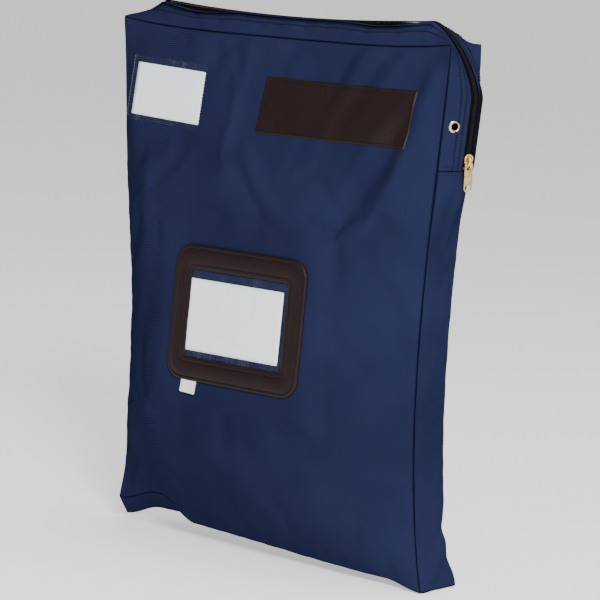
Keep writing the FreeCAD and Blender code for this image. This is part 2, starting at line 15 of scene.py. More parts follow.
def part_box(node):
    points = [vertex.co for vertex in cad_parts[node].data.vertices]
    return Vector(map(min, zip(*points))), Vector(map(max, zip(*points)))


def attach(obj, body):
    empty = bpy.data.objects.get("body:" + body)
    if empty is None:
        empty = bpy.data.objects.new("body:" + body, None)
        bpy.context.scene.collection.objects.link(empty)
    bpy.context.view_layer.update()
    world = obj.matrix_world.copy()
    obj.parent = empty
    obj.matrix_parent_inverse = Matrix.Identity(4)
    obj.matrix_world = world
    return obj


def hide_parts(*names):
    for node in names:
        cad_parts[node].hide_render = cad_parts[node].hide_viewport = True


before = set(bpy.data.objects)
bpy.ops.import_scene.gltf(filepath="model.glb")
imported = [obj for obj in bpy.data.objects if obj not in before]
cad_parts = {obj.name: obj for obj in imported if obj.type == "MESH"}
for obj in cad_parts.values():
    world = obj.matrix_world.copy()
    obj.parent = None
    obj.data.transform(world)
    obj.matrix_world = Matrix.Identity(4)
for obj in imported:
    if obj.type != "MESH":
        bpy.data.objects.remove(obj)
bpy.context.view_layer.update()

# ---- Driving dimensions, in millimetres ----
MM = 0.001
CENTRE = Vector((-7.0, 9.0, 1.0))    # middle of the gusset in the frame of the CAD model
PANEL_WIDTH = 408.0
PANEL_HEIGHT = 540.0
GUSSET_DEPTH = 54.0
FRONT_BULGE = 62.5
BACK_BULGE = 43.0
LEFT_FOLD = 17.0             # the slack left gusset folds in this far
BELLY_HEIGHT = 0.28
SIDE_PULL_FRONT = 18.0
SIDE_PULL_BACK = 19.0
TOP_SAG = 8.0
LEFT_SEAM_TOP_Y = -20.0
LEFT_SEAM_BOTTOM_Y = -3.0

ZIP_LOW = Vector((211.5, 0.0, 418.0))
ZIP_HIGH = Vector((217.5, 0.0, 488.0))
ZIP_TOP_RIGHT = Vector((166.0, 0.0, 558.5))
ZIP_CORNER_POWER = 1.38      # above 1 the zip cuts the corner more than an ellipse would
ZIP_TOP_MIDDLE_HEIGHT = 551.0
ZIP_TOP_LEFT_X = -182.0
EAR_CREASE = 3.5             # the right gusset's lower corner is folded under along this ridge
CLOSING_RISE = 4.0           # the flattened end of the top stays nearly straight
CLOSING_START = -164.0       # from here both strips come down straight to the top left corner
ZIP_ACROSS = Vector((math.cos(math.radians(60)), math.sin(math.radians(60)), 0.0))
SLOT_FRONT = 5.0             # from the zip's middle line to the front strip's free edge
SLOT_BACK = 4.0
SLIDER_HEIGHT = 428.0

COLUMNS = 64                 # cells across a panel
ROWS = 84                    # cells up a panel
CROSS_ROW = 65               # the right gusset ends and the zip begins at this row
STRIP_CELLS = 4              # cells across one zip strip
GUSSET_CELLS = 2 * STRIP_CELLS + 2

CLOTH_GROWTH = 0.012         # the cloth is this much larger than its seams, so that it puckers
CLOTH_PRESSURE = 2.2
CLOTH_FRAMES = 20
CLOTH_CAP = 7.0              # furthest that the simulation may move a point
GUSSET_CAP = 2.5             # the same on the right gusset and the zip strips, which are pulled tight
SEAM_DEPTH = 1.7             # the seams lie this deep between the pieces of cloth


FRAME_SIZE = (167.0, 138.0)
FRAME_CORNER = 19.0
FRAME_SHIFT = (11.0, 4.8)    # middle of the frame, from the middle of its card in the CAD model
WINDOW_SIZE = (123.0, 89.0)
ADDRESS_CARD = (125.0, 73.0)
ADDRESS_CARD_SHIFT = (5.0, 3.2)
POCKET_SIZE = (108.0, 67.0)
POCKET_SHIFT = (-1.0, 2.0)
POCKET_TURN = 2.0            # degrees clockwise: the pocket is sewn on a little askew
DEPOSIT_CARD = (98.0, 54.0)
PATCH_X = (-7.5, 172.5)
PATCH_LEAN = 0.04            # the cloth pulls the patch's lower edge to the left
PATCH_Z = (436.0, 493.0)
HEM_STITCHES = (5.0, 10.5)   # from the free edge of a zip strip


# ---- Shape of the stuffed bag ----
def smooth(t):
    t = min(1.0, max(0.0, t))
    return t * t * (3.0 - 2.0 * t)


def mix(a, b, t):
    return a + (b - a) * t


def bump(t):
    """1 at t = 0, falling smoothly to 0 at -1 and 1."""
    return smooth(1.0 - abs(t))


def side_pull(height, amount):
    return amount * max(0.0, math.sin(math.pi * min(1.0, height) ** 0.72)) ** 1.2


def fullness(height):
    if height > BELLY_HEIGHT:
        return 1.0 - ((height - BELLY_HEIGHT) / (1.0 - BELLY_HEIGHT)) ** 1.8
    return 1.0 - ((BELLY_HEIGHT - height) / BELLY_HEIGHT) ** 2.2


def crown(across):
    return 1.0 - abs(across) ** 3.4


def bottom_seam_z(x, face):
    """The bottom seams arch up between the corners, and the front left corner is folded up."""
    half = PANEL_WIDTH / 2
    if face > 0:
        return 14.0 * smooth((half + x) / 45.0) * smooth((half - x) / 45.0)
    arch = 6.5 * smooth((half - x) / 45.0) + 9.0 * smooth((160.0 - x) / 300.0)
    fold = 23.0 * smooth((-95.0 - x) / 50.0) * (1.0 - 0.6 * smooth((-150.0 - x) / 50.0))
    return arch + fold


def top_seam_z(x):
    return PANEL_HEIGHT - TOP_SAG * (1.0 - (2.0 * x / PANEL_WIDTH) ** 4)


def side_seam(side, face, height):
    amount = SIDE_PULL_FRONT if face < 0 else SIDE_PULL_BACK
    x = side * (PANEL_WIDTH / 2 - side_pull(height, amount))
    y = face * GUSSET_DEPTH / 2
    if side < 0 and face < 0:
        y = mix(LEFT_SEAM_BOTTOM_Y, LEFT_SEAM_TOP_Y, height)
        x += 5.0 * smooth((0.22 - height) / 0.16) - 1.5 - 3.5 * bump((height - 0.68) / 0.26)
    if face > 0:
        x += side * (1.5 + 7.0 * smooth((0.07 - height) / 0.06) - 5.0 * bump((height - 0.085) / 0.07))
    corner_z = bottom_seam_z(side * PANEL_WIDTH / 2, face)
    return Vector((x, y, mix(corner_z, PANEL_HEIGHT, height)))


TOP_PUCKERS = (      # where they start, half width, slant to the left and height, under the top seam
    (-100.0, 22.0, 0.1, 4.4), (-76.0, 10.0, -0.15, -5.2), (-56.0, 10.0, 0.3, -4.0), (-28.0, 20.0, 0.2, 3.4),
    (20.0, 14.0, 0.3, -2.8), (96.0, 10.0, 0.45, -4.2), (112.0, 12.0, 0.45, 4.6), (133.0, 10.0, 0.5, -4.4),
    (152.0, 13.0, 0.5, 4.0))
CREASES = (          # start, end, half width and height of the long creases of the front panel
    ((-66.0, 520.0), (-118.0, 370.0), 18.0, -5.5), ((178.0, 480.0), (84.0, 316.0), 26.0, -8.0),
    ((197.0, 530.0), (146.0, 350.0), 18.0, 6.0), ((60.0, 400.0), (100.0, 250.0), 28.0, 4.5),
    ((-150.0, 420.0), (-120.0, 190.0), 24.0, 5.0), ((150.0, 330.0), (190.0, 150.0), 20.0, -4.5),
    ((-60.0, 160.0), (60.0, 60.0), 30.0, 4.5), ((190.0, 190.0), (120.0, 120.0), 20.0, -4.0),
    ((-30.0, 430.0), (60.0, 330.0), 16.0, 3.0), ((130.0, 250.0), (60.0, 180.0), 16.0, -3.0))


def along_line(x, z, start, end):
    """Share of the way from start to end beside a place x, z, and how far it lies off that line."""
    run_x, run_z = end[0] - start[0], end[1] - start[1]
    length = math.hypot(run_x, run_z)
    along = ((x - start[0]) * run_x + (z - start[1]) * run_z) / length ** 2
    return along, ((x - start[0]) * run_z - (z - start[1]) * run_x) / length


def panel_folds(face, x, z, low, high):
    """Soft folds of the cloth, as a height over the stuffed shape."""
    to_top = (high - z) / 60.0
    pucker = 0.0
    for middle, reach, slant, lift in TOP_PUCKERS:
        lean = middle - slant * (high - z)
        pucker += lift * bump((x - lean) / reach) * max(0.0, to_top) * math.exp(1.0 - 2.2 * to_top)
    crease = 0.0
    if face < 0:
        shoulder = smooth((502.0 - z) / 70.0) * smooth((z - 270.0) / 140.0)
        crease += 10.0 * bump((x - 164.0) / 60.0) * shoulder
        for start, end, reach, lift in CREASES:
            down, beside = along_line(x, z, start, end)
            crease += lift * bump(beside / reach) * smooth(down / 0.2) * smooth((1.0 - down) / 0.4)
    drape = 2.4 * noise.noise(Vector((x / 62.0, face * 3.0, z / 210.0)))
    drape += 1.2 * noise.noise(Vector((x / 30.0, face * 7.0, z / 90.0 + 5.0)))
    inside = smooth((high - z) / 60.0) * smooth((z - low) / 50.0)
    inside *= smooth((PANEL_WIDTH / 2 - abs(x) - 14.0) / 40.0)
    return pucker + crease + drape * inside


def panel_point(face, across, height):
    """A point of the front (-1) or back (1) panel: across from -1 to 1, height from 0 to 1."""
    left, right = side_seam(-1, face, height), side_seam(1, face, height)
    share = (across + 1.0) / 2.0
    x = mix(left.x, right.x, share)
    seam_x = mix(-PANEL_WIDTH / 2, PANEL_WIDTH / 2, share)
    low, high = bottom_seam_z(seam_x, face), top_seam_z(seam_x)
    z = mix(low, high, height)
    bulge = FRONT_BULGE if face < 0 else BACK_BULGE
    out = bulge * crown(across) * fullness(height)
    if abs(across) < 1.0:
        out += panel_folds(face, x, z, low, high) * smooth((1.0 - abs(across)) * 12.0)
    point = Vector((x, mix(left.y, right.y, share) + face * out, z))
    if face < 0:
        edge = smooth((1.0 - abs(across)) * 6.0) * smooth((1.0 - height) * 9.0)
        lying = flattened(flattened(point, WINDOW_FLAT, FRAME_SIZE, 1.0), POCKET_FLAT, POCKET_SIZE, 1.0)
        point = point.lerp(lying, edge)
    return point


def node_flat(name):
    """The flat of a thin CAD plate on the front: centre, across, up and out, in millimetres."""
    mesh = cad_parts[name].data
    widest = max((p for p in mesh.polygons if p.normal.y < 0.0), key=lambda p: p.area)
    out = widest.normal.copy()
    across = Vector((0.0, 0.0, 1.0)).cross(out).normalized() * -1.0
    if across.x < 0.0:
        across.negate()
    low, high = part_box(name)
    centre = (Vector(low) + Vector(high)) / 2.0 / MM - CENTRE
    return centre, across, across.cross(out) * -1.0, out


def turned(flat, degrees):
    """The same flat, turned clockwise in its own plane."""
    centre, across, up, out = flat
    angle = math.radians(degrees)
    return (centre, across * math.cos(angle) - up * math.sin(angle),
            up * math.cos(angle) + across * math.sin(angle), out)


def flattened(point, flat, size, depth):
    """Moves a point of the front panel onto the back of a stiff pocket, where it lies under it."""
    centre, across, up, out = flat
    away = max(abs((point - centre).dot(across)) - size[0] / 2, abs((point - centre).dot(up)) - size[1] / 2)
    weight = 1.0 - smooth(max(0.0, away) / 40.0)
    level = centre - out * depth
    y = level.y - ((point.x - level.x) * out.x + (point.z - level.z) * out.z) / out.y
    return Vector((point.x, mix(point.y, y, weight), point.z))


def zip_top(x):
    rise = (ZIP_TOP_RIGHT.z - ZIP_TOP_MIDDLE_HEIGHT) * (x / ZIP_TOP_RIGHT.x) ** 2
    return Vector((x, 0.0, ZIP_TOP_MIDDLE_HEIGHT + rise))


def zip_middle(seam):
    """The zip's middle line beside a point of the front seam, and the way across it."""
    if seam.x < ZIP_TOP_RIGHT.x:
        return zip_top(max(seam.x, ZIP_TOP_LEFT_X)), Vector((0.0, 1.0, 0.0))
    if seam.z <= ZIP_HIGH.z:
        share = (seam.z - ZIP_LOW.z) / (ZIP_HIGH.z - ZIP_LOW.z)
        return ZIP_LOW.lerp(ZIP_HIGH, share), ZIP_ACROSS
    half = PANEL_WIDTH / 2
    up = (seam.z - ZIP_HIGH.z) / (PANEL_HEIGHT - 1.0 - ZIP_HIGH.z)
    along = (half - seam.x) / (half - ZIP_TOP_RIGHT.x)
    share = 0.5 * min(1.0, up) if up < 1.0 and along < 0.12 else mix(0.5, 1.0, along)
    angle = math.radians(90.0) * share
    x = mix(ZIP_TOP_RIGHT.x, ZIP_HIGH.x, math.cos(angle) ** ZIP_CORNER_POWER)
    z = mix(ZIP_HIGH.z, ZIP_TOP_RIGHT.z, math.sin(angle) ** ZIP_CORNER_POWER)
    across = ZIP_ACROSS.lerp(Vector((0.0, 1.0, 0.0)), smooth(share)).normalized()
    return Vector((x, 0.0, z)), across


def zip_section(front, back):
    """Points from the front seam over both strips and the zip to the back seam."""
    middle, across = zip_middle(front)
    closing = max(0.0, (CLOSING_START - front.x) / (PANEL_WIDTH / 2 + CLOSING_START))
    if closing > 0.0:
        closing = min(1.0, closing)
        middle = zip_top(CLOSING_START).lerp((front + back) / 2.0, closing)
        middle.z += CLOSING_RISE * math.sin(math.pi * closing)
    near = middle - across * SLOT_FRONT * (1.0 - closing)
    far = middle + across * SLOT_BACK * (1.0 - closing)
    drop = 5.0 * bump((front.x + 118.0) / 62.0) + 4.0 * bump((front.x - 112.0) / 58.0)
    on_side = smooth((front.x - 125.0) / 35.0)
    near.z -= drop
    far.z -= (drop + 3.0 * (1.0 - closing)) * (1.0 - on_side)
    out = (middle - (front + back) / 2).normalized()
    ear = bump((back - Vector((PANEL_WIDTH / 2, back.y, PANEL_HEIGHT))).length / 55.0)
    points = []
    for k in range(STRIP_CELLS + 1):
        share = k / STRIP_CELLS
        points.append(front.lerp(near, share) + out * 1.2 * math.sin(math.pi * share))
    points.append(middle)
    for k in range(STRIP_CELLS + 1):
        share = k / STRIP_CELLS
        points.append(far.lerp(back, share) + out * (0.6 * on_side + 4.0 * ear) * math.sin(math.pi * share))
    return points


def gusset_section(front, back, bow):
    """Points straight across a gusset, from the front seam to the back seam."""
    points = []
    for k in range(GUSSET_CELLS + 1):
        share = k / GUSSET_CELLS
        points.append(front.lerp(back, share) + Vector((bow * 4.0 * share * (1.0 - share), 0, 0)))
    return points


WINDOW_FLAT = node_flat("address_card")
POCKET_FLAT = turned(node_flat("deposit_card"), POCKET_TURN)


# ---- The whole shell as one welded mesh, before and after the simulation ----
def shell_grids():
    """Every piece of cloth as rows of points; pieces share the points of their common seams."""
    front, back = [], []
    for j in range(ROWS + 1):
        front.append([panel_point(-1, 2.0 * i / COLUMNS - 1.0, j / ROWS) for i in range(COLUMNS + 1)])
        back.append([panel_point(1, 2.0 * i / COLUMNS - 1.0, j / ROWS) for i in range(COLUMNS + 1)])
    left = []
    for j in range(ROWS + 1):
        fold = LEFT_FOLD * smooth(j / ROWS / 0.16) * smooth((1.0 - j / ROWS) / 0.10)
        left.append(gusset_section(front[j][0], back[j][0], fold))
    bottom = [gusset_section(front[0][i], back[0][i], 0.0) for i in range(COLUMNS + 1)]
    around = [(front[j][COLUMNS], back[j][COLUMNS]) for j in range(CROSS_ROW, ROWS + 1)]
    around += [(front[ROWS][i], back[ROWS][i]) for i in range(COLUMNS - 1, -1, -1)]
    top = [zip_section(*pair) for pair in around]
    right = []
    for j in range(CROSS_ROW + 1):
        flat = gusset_section(front[j][COLUMNS], back[j][COLUMNS], 0.0)
        swell = smooth((j / CROSS_ROW - 0.80) / 0.20)
        offset = [a - b for a, b in zip(top[0], gusset_section(*around[0], 0.0))]
        row = [point + shift * swell for point, shift in zip(flat, offset)]
        for k, point in enumerate(row):
            share = k / GUSSET_CELLS
            point.x += EAR_CREASE * bump((point.z - 4.0 - 40.0 * share) / 16.0) * smooth(share / 0.4)
        right.append(row)
    for rows in (top, left):
        rows[-1 if rows is top else ROWS] = gusset_section(front[ROWS][0], back[ROWS][0], 0.0)
    return {"front": front, "back": back, "left": left, "right": right, "bottom": bottom, "top": top}


def weld(grids):
    """One list of points for all grids, and each grid as rows of numbers into it."""
    points, known, numbered = [], {}, {}
    for name, rows in grids.items():
        numbered[name] = []
        for row in rows:
            numbers = []
            for point in row:
                key = (round(point.x, 3), round(point.y, 3), round(point.z, 3))
                if key not in known:
                    known[key] = len(points)
                    points.append(point.copy())
                numbers.append(known[key])
            numbered[name].append(numbers)
    return points, numbered


def quads(rows):
    faces = []
    for lower, upper in zip(rows, rows[1:]):
        for k in range(len(lower) - 1):
            face = (lower[k], lower[k + 1], upper[k + 1], upper[k])
            if len(set(face)) == 4:
                faces.append(face)
    return faces


def held_points(numbered):
    """How firmly each point is held: seams, corners and the stiff pockets are."""
    held = {}
    for name in ("front", "back"):
        rows = numbered[name]
        edge = rows[0] + rows[-1] + [row[0] for row in rows] + [row[-1] for row in rows]
        held.update((number, 1.0) for number in edge)
    for row in numbered["top"]:
        for k in range(STRIP_CELLS, STRIP_CELLS + 3):
            held[row[k]] = 1.0
    for number in numbered["top"][0] + numbered["right"][0] + numbered["left"][0]:
        held[number] = 1.0
    return held


def stiffness_at(point):
    """1 under the card pockets and the patch, which lie flat, and 0 on open cloth."""
    if point.y > 0.0:
        return 0.0
    stiff = 0.0
    for x, z, half_w, half_h in ((0.0, 247.0, 80.0, 67.0), (-130.0, 466.0, 55.0, 34.0),
                                 (87.0, 464.0, 88.0, 27.0)):
        away = max(abs(point.x - x) - half_w, abs(point.z - z) - half_h, 0.0)
        stiff = max(stiff, 1.0 - smooth(away / 45.0))
    return stiff


def simulate(points, numbered):
    """Cloth with air pressure inside, held at its seams; returns the moved points."""
    mesh = bpy.data.meshes.new("shell_cloth")
    faces = [face for rows in numbered.values() for face in quads(rows)]
    mesh.from_pydata([point * MM for point in points], [], faces)
    cloth = bpy.data.objects.new("shell_cloth", mesh)
    bpy.context.scene.collection.objects.link(cloth)
    shape = bmesh.new()
    shape.from_mesh(mesh)
    bmesh.ops.recalc_face_normals(shape, faces=shape.faces)
    if shape.calc_volume(signed=True) < 0.0:
        bmesh.ops.reverse_faces(shape, faces=shape.faces)
    shape.to_mesh(mesh)
    shape.free()
    group = cloth.vertex_groups.new(name="held")
    held = held_points(numbered)
    for number, point in enumerate(points):
        group.add([number], max(held.get(number, 0.0), 0.8 * stiffness_at(point)), "REPLACE")
    modifier = cloth.modifiers.new("Cloth", "CLOTH")
    settings = modifier.settings
    settings.quality = 6
    settings.mass = 0.15
    settings.tension_stiffness = 20.0
    settings.compression_stiffness = 20.0
    settings.shear_stiffness = 6.0
    settings.bending_stiffness = 0.6
    settings.air_damping = 3.0
    settings.use_pressure = True
    settings.uniform_pressure_force = CLOTH_PRESSURE
    settings.shrink_min = -CLOTH_GROWTH
    settings.vertex_group_mass = "held"
    settings.pin_stiffness = 2.0
    settings.effector_weights.gravity = 0.0
    modifier.collision_settings.use_collision = False
    modifier.point_cache.frame_start = 1
    modifier.point_cache.frame_end = CLOTH_FRAMES
    scene = bpy.context.scene
    for number in range(1, CLOTH_FRAMES + 1):
        scene.frame_set(number)
    moved = cloth.evaluated_get(bpy.context.evaluated_depsgraph_get()).to_mesh()
    narrow = {number for row in numbered["right"] + numbered["top"] for number in row}
    result = []
    for number, point in enumerate(points):
        shift = moved.vertices[number].co / MM - point
        cap = CLOTH_CAP * (1.0 - 0.85 * stiffness_at(point))
        if number in held:
            cap = 0.0
        elif number in narrow:
            cap = GUSSET_CAP
        if shift.length > cap:
            shift = shift.normalized() * cap
        result.append(point + shift)
    bpy.data.objects.remove(cloth)
    scene.frame_set(1)
    return result


# ---- Mesh helpers ----
def place(point):
    """From millimetres round the gusset's middle to metres in the frame of the CAD model."""
    return (point + CENTRE) * MM


def new_object(name, points, faces, material, uvs=None, painted_shade=None):
    """A mesh object from points in millimetres; the last argument is painted shade that darkens it, from 0 to 1 at
    each point.
    """
    mesh = bpy.data.meshes.new(name)
    mesh.from_pydata([place(point) for point in points], [], faces)
    if uvs:
        layer = mesh.uv_layers.new(name="cloth")
        for loop in mesh.loops:
            layer.data[loop.index].uv = uvs[loop.vertex_index]
    # painted shade, stored as the "seam" attribute that the nylon material reads
    if painted_shade:
        mesh.attributes.new("seam", "FLOAT", "POINT").data.foreach_set("value", painted_shade)
    for polygon in mesh.polygons:
        polygon.use_smooth = True
    mesh.materials.append(material)
    piece = bpy.data.objects.new(name, mesh)
    bpy.context.scene.collection.objects.link(piece)
    return piece


def arc_lengths(points, origin=0):
    """Length along a row of points, in metres, counted from the point at origin."""
    lengths = [0.0]
    for a, b in zip(points, points[1:]):
        lengths.append(lengths[-1] + (b - a).length * MM)
    return [length - lengths[origin] for length in lengths]


def grid_object(name, rows, material, closed=False, painted_shade=None):
    """A smooth sheet through rows of points, with its flat cloth coordinates in metres."""
    width = len(rows[0])
    columns = [arc_lengths([row[i] for row in rows]) for i in range(width)]
    points, uvs = [], []
    for j, row in enumerate(rows):
        across = arc_lengths(row, width // 2)
        for i, point in enumerate(row):
            points.append(point)
            uvs.append((across[i], columns[i][j]))
    numbered = [[j * width + i for i in range(width)] for j in range(len(rows))]
    if closed:
        numbered = [row + [row[0]] for row in numbered]
    return new_object(name, points, quads(numbered), material, uvs, painted_shade)


def subdivide(piece, levels=1):
    modifier = piece.modifiers.new("Subdivision", "SUBSURF")
    modifier.levels = levels
    modifier.render_levels = levels
    return piece


def declare(piece, slot, *nodes, body="bag", flat=None, held="laid"):
    """Ties a piece to its body and hides its CAD nodes; the slot and flat arguments are not used."""
    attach(piece, body)
    if nodes:
        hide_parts(*nodes)
    return piece


def face_outwards(piece, outward):
    """Turns the faces so that the middle of the piece looks along outward."""
    total = Vector()
    for polygon in piece.data.polygons:
        total += polygon.normal * polygon.area
    if total.dot(outward) < 0.0:
        piece.data.flip_normals()
    return piece


# ---- Materials ----
def new_material(name, colour, roughness, **sockets):
    """A principled material with its constant values on the shader's own sockets."""
    material = bpy.data.materials.new(name)
    material.use_nodes = True
    shader = material.node_tree.nodes["Principled BSDF"]
    shader.inputs["Base Color"].default_value = (*colour, 1.0)
    shader.inputs["Roughness"].default_value = roughness
    for socket, value in sockets.items():
        shader.inputs[socket.replace("_", " ")].default_value = value
    return material, material.node_tree, shader


def add_node(tree, kind, **values):
    node = tree.nodes.new(kind)
    for key, value in values.items():
        if key in node.inputs:
            node.inputs[key].default_value = value
        else:
            setattr(node, key, value)
    return node


def colour_ramp(tree, factor, *stops):
    ramp = tree.nodes.new("ShaderNodeValToRGB")
    while len(ramp.color_ramp.elements) < len(stops):
        ramp.color_ramp.elements.new(0.5)
    for element, (position, colour) in zip(ramp.color_ramp.elements, stops):
        element.position = position
        element.color = (*colour, 1.0)
    tree.links.new(factor, ramp.inputs["Fac"])
    return ramp.outputs["Color"]


def blend_colours(tree, kind, factor, a, b):
    node = tree.nodes.new("ShaderNodeMix")
    node.data_type = "RGBA"
    node.blend_type = kind
    for socket, value in ((node.inputs[0], factor), (node.inputs[6], a), (node.inputs[7], b)):
        if isinstance(value, bpy.types.NodeSocket):
            tree.links.new(value, socket)
        else:
            socket.default_value = value
    return node.outputs[2]


def math_node(tree, operation, *values):
    node = tree.nodes.new("ShaderNodeMath")
    node.operation = operation
    for socket, value in zip(node.inputs, values):
        if isinstance(value, bpy.types.NodeSocket):
            tree.links.new(value, socket)
        else:
            socket.default_value = value
    return node.outputs[0]


def stripes(tree, coordinates, angle, pitch, distortion=0.0):
    """Soft stripes of the given pitch in metres, turned by an angle in degrees."""
    turn = add_node(tree, "ShaderNodeMapping")
    turn.inputs["Rotation"].default_value = (0.0, 0.0, math.radians(angle))
    tree.links.new(coordinates, turn.inputs["Vector"])
    wave = add_node(tree, "ShaderNodeTexWave", wave_type="BANDS", bands_direction="X", Scale=math.tau / 20.0 / pitch,
                    Distortion=distortion, Detail=1.0)
    tree.links.new(turn.outputs["Vector"], wave.inputs["Vector"])
    return wave.outputs["Fac"]


def cloud(tree, coordinates, scale, detail=3.0, roughness=0.5):
    node = add_node(tree, "ShaderNodeTexNoise", Scale=scale, Detail=detail, Roughness=roughness)
    tree.links.new(coordinates, node.inputs["Vector"])
    return node.outputs["Fac"]


def add_bump(tree, shader, height, distance, strength=1.0):
    node = add_node(tree, "ShaderNodeBump", Strength=strength, Distance=distance)
    tree.links.new(height, node.inputs["Height"])
    if shader.inputs["Normal"].links:
        tree.links.new(shader.inputs["Normal"].links[0].from_socket, node.inputs["Normal"])
    tree.links.new(node.outputs["Normal"], shader.inputs["Normal"])


def nylon():
    """Coated twill: fine diagonal ribs, colour that varies a little by area, and painted shade along its seams and in
    its hem stitch dips.
    """
    material, tree, shader = new_material("nylon", (0.0125, 0.0200, 0.057), 0.6)
    shader.inputs["Specular IOR Level"].default_value = 0.0
    cloth = add_node(tree, "ShaderNodeUVMap", uv_map="cloth").outputs["UV"]
    solid = add_node(tree, "ShaderNodeTexCoord").outputs["Object"]
    ribs = stripes(tree, cloth, 50.0, 0.0016, 0.4)
    floats = stripes(tree, cloth, -35.0, 0.0023, 0.6)
    weave = math_node(tree, "MULTIPLY_ADD", floats, 0.25, ribs)
    tone = colour_ramp(tree, math_node(tree, "MULTIPLY", weave, 0.8),
                       (0.0, (0.0065, 0.0088, 0.026)), (0.5, (0.0125, 0.0158, 0.0440)),
                       (1.0, (0.0205, 0.0250, 0.0660)))
    patches = cloud(tree, solid, 9.0, 4.0)
    shade = colour_ramp(tree, patches, (0.30, (0.78, 0.80, 0.82)), (0.70, (1.14, 1.13, 1.12)))
    colour = blend_colours(tree, "MULTIPLY", 1.0, tone, shade)
    specks = cloud(tree, solid, 2600.0, 2.0)
    dust = colour_ramp(tree, specks, (0.60, (0.0, 0.0, 0.0)), (0.78, (0.006, 0.008, 0.013)))
    colour = blend_colours(tree, "ADD", 1.0, colour, dust)
    # painted shade: the "seam" attribute mixes the colour towards near black in the seam grooves and stitch dips
    seam = add_node(tree, "ShaderNodeAttribute", attribute_name="seam").outputs["Fac"]
    colour = blend_colours(tree, "MIX", seam, colour, (0.0010, 0.0014, 0.0040, 1.0))
    tree.links.new(colour, shader.inputs["Base Color"])
    add_bump(tree, shader, weave, 0.0003, 0.5)
    add_bump(tree, shader, cloud(tree, solid, 55.0, 4.0), 0.0012, 0.35)
    return material


def zip_tape_material():
    material, tree, shader = new_material("zip_tape", (0.004, 0.004, 0.005), 0.75)
    shader.inputs["Specular IOR Level"].default_value = 0.05
    cloth = add_node(tree, "ShaderNodeUVMap", uv_map="cloth").outputs["UV"]
    weave = stripes(tree, cloth, 0.0, 0.0009)
    cross = stripes(tree, cloth, 90.0, 0.0012)
    height = math_node(tree, "MULTIPLY", weave, cross)
    tree.links.new(colour_ramp(tree, height, (0.0, (0.0016, 0.0016, 0.0020)), (1.0, (0.0075, 0.0075, 0.0090))),
                   shader.inputs["Base Color"])
    add_bump(tree, shader, height, 0.0003)
    return material


def coil_material():
    material, tree, shader = new_material("zip_coil", (0.004, 0.004, 0.005), 0.5)
    shader.inputs["Specular IOR Level"].default_value = 0.12
    solid = add_node(tree, "ShaderNodeTexCoord").outputs["Object"]
    wear = cloud(tree, solid, 300.0)
    tree.links.new(colour_ramp(tree, wear, (0.3, (0.0022, 0.0022, 0.0030)), (0.8, (0.0065, 0.0065, 0.0085))),
                   shader.inputs["Base Color"])
    add_bump(tree, shader, cloud(tree, solid, 1500.0), 0.0002, 0.4)
    return material


def leatherette():
    """Dark brown leatherette: pebbled grain, darker in its pores, a broad soft shine."""
    material, tree, shader = new_material("leatherette", (0.012, 0.007, 0.0065), 0.42)
    shader.inputs["Specular IOR Level"].default_value = 0.14
    solid = add_node(tree, "ShaderNodeTexCoord").outputs["Object"]
    grain = add_node(tree, "ShaderNodeTexVoronoi", feature="SMOOTH_F1", Scale=900.0, Smoothness=0.4)
    tree.links.new(solid, grain.inputs["Vector"])
    pores = cloud(tree, solid, 420.0, 5.0)
    height = math_node(tree, "MULTIPLY_ADD", pores, 0.7, grain.outputs["Distance"])
    tree.links.new(colour_ramp(tree, height, (0.25, (0.0042, 0.0016, 0.0018)), (0.95, (0.0150, 0.0070, 0.0074))),
                   shader.inputs["Base Color"])
    tree.links.new(math_node(tree, "MULTIPLY_ADD", cloud(tree, solid, 24.0), 0.25, 0.28),
                   shader.inputs["Roughness"])
    add_bump(tree, shader, height, 0.0003, 0.55)
    return material


def brass():
    """Pale plated brass, with fine brushing and a little tarnish."""
    material, tree, shader = new_material("brass", (0.80, 0.62, 0.28), 0.22, Metallic=1.0)
    solid = add_node(tree, "ShaderNodeTexCoord").outputs["Object"]
    tarnish = cloud(tree, solid, 240.0, 5.0)
    tree.links.new(colour_ramp(tree, tarnish, (0.30, (0.42, 0.28, 0.08)), (0.62, (0.72, 0.56, 0.24))),
                   shader.inputs["Base Color"])
    tree.links.new(math_node(tree, "MULTIPLY_ADD", tarnish, 0.28, 0.12), shader.inputs["Roughness"])
    stretch = add_node(tree, "ShaderNodeMapping")
    stretch.inputs["Scale"].default_value = (1.0, 1.0, 0.06)
    tree.links.new(solid, stretch.inputs["Vector"])
    add_bump(tree, shader, cloud(tree, stretch.outputs["Vector"], 4000.0), 0.0001, 0.35)
    return material


def card_material():
    """White card stock with paper fibres."""
    material, tree, shader = new_material("card", (0.86, 0.88, 0.90), 0.55)
    solid = add_node(tree, "ShaderNodeTexCoord").outputs["Object"]
    fibres = cloud(tree, solid, 900.0, 6.0)
    tree.links.new(colour_ramp(tree, fibres, (0.25, (0.80, 0.83, 0.87)), (0.70, (0.90, 0.915, 0.93))),
                   shader.inputs["Base Color"])
    add_bump(tree, shader, fibres, 0.0001, 0.3)
    return material


def film_material():
    """Clear vinyl with faint light streaks where it has been rubbed."""
    material, tree, shader = new_material("clear_vinyl", (0.45, 0.52, 0.62), 0.10, Alpha=0.06)
    solid = add_node(tree, "ShaderNodeTexCoord").outputs["Object"]
    stretch = add_node(tree, "ShaderNodeMapping")
    stretch.inputs["Rotation"].default_value = (0.0, math.radians(35.0), 0.0)
    stretch.inputs["Scale"].default_value = (1.0, 1.0, 0.25)
    tree.links.new(solid, stretch.inputs["Vector"])
    streaks = cloud(tree, stretch.outputs["Vector"], 90.0, 2.0)
    clear = colour_ramp(tree, streaks, (0.55, (0.012, 0.012, 0.012)), (0.85, (0.06, 0.06, 0.06)))
    tree.links.new(clear, shader.inputs["Alpha"])
    add_bump(tree, shader, cloud(tree, solid, 45.0), 0.002, 0.3)
    return material


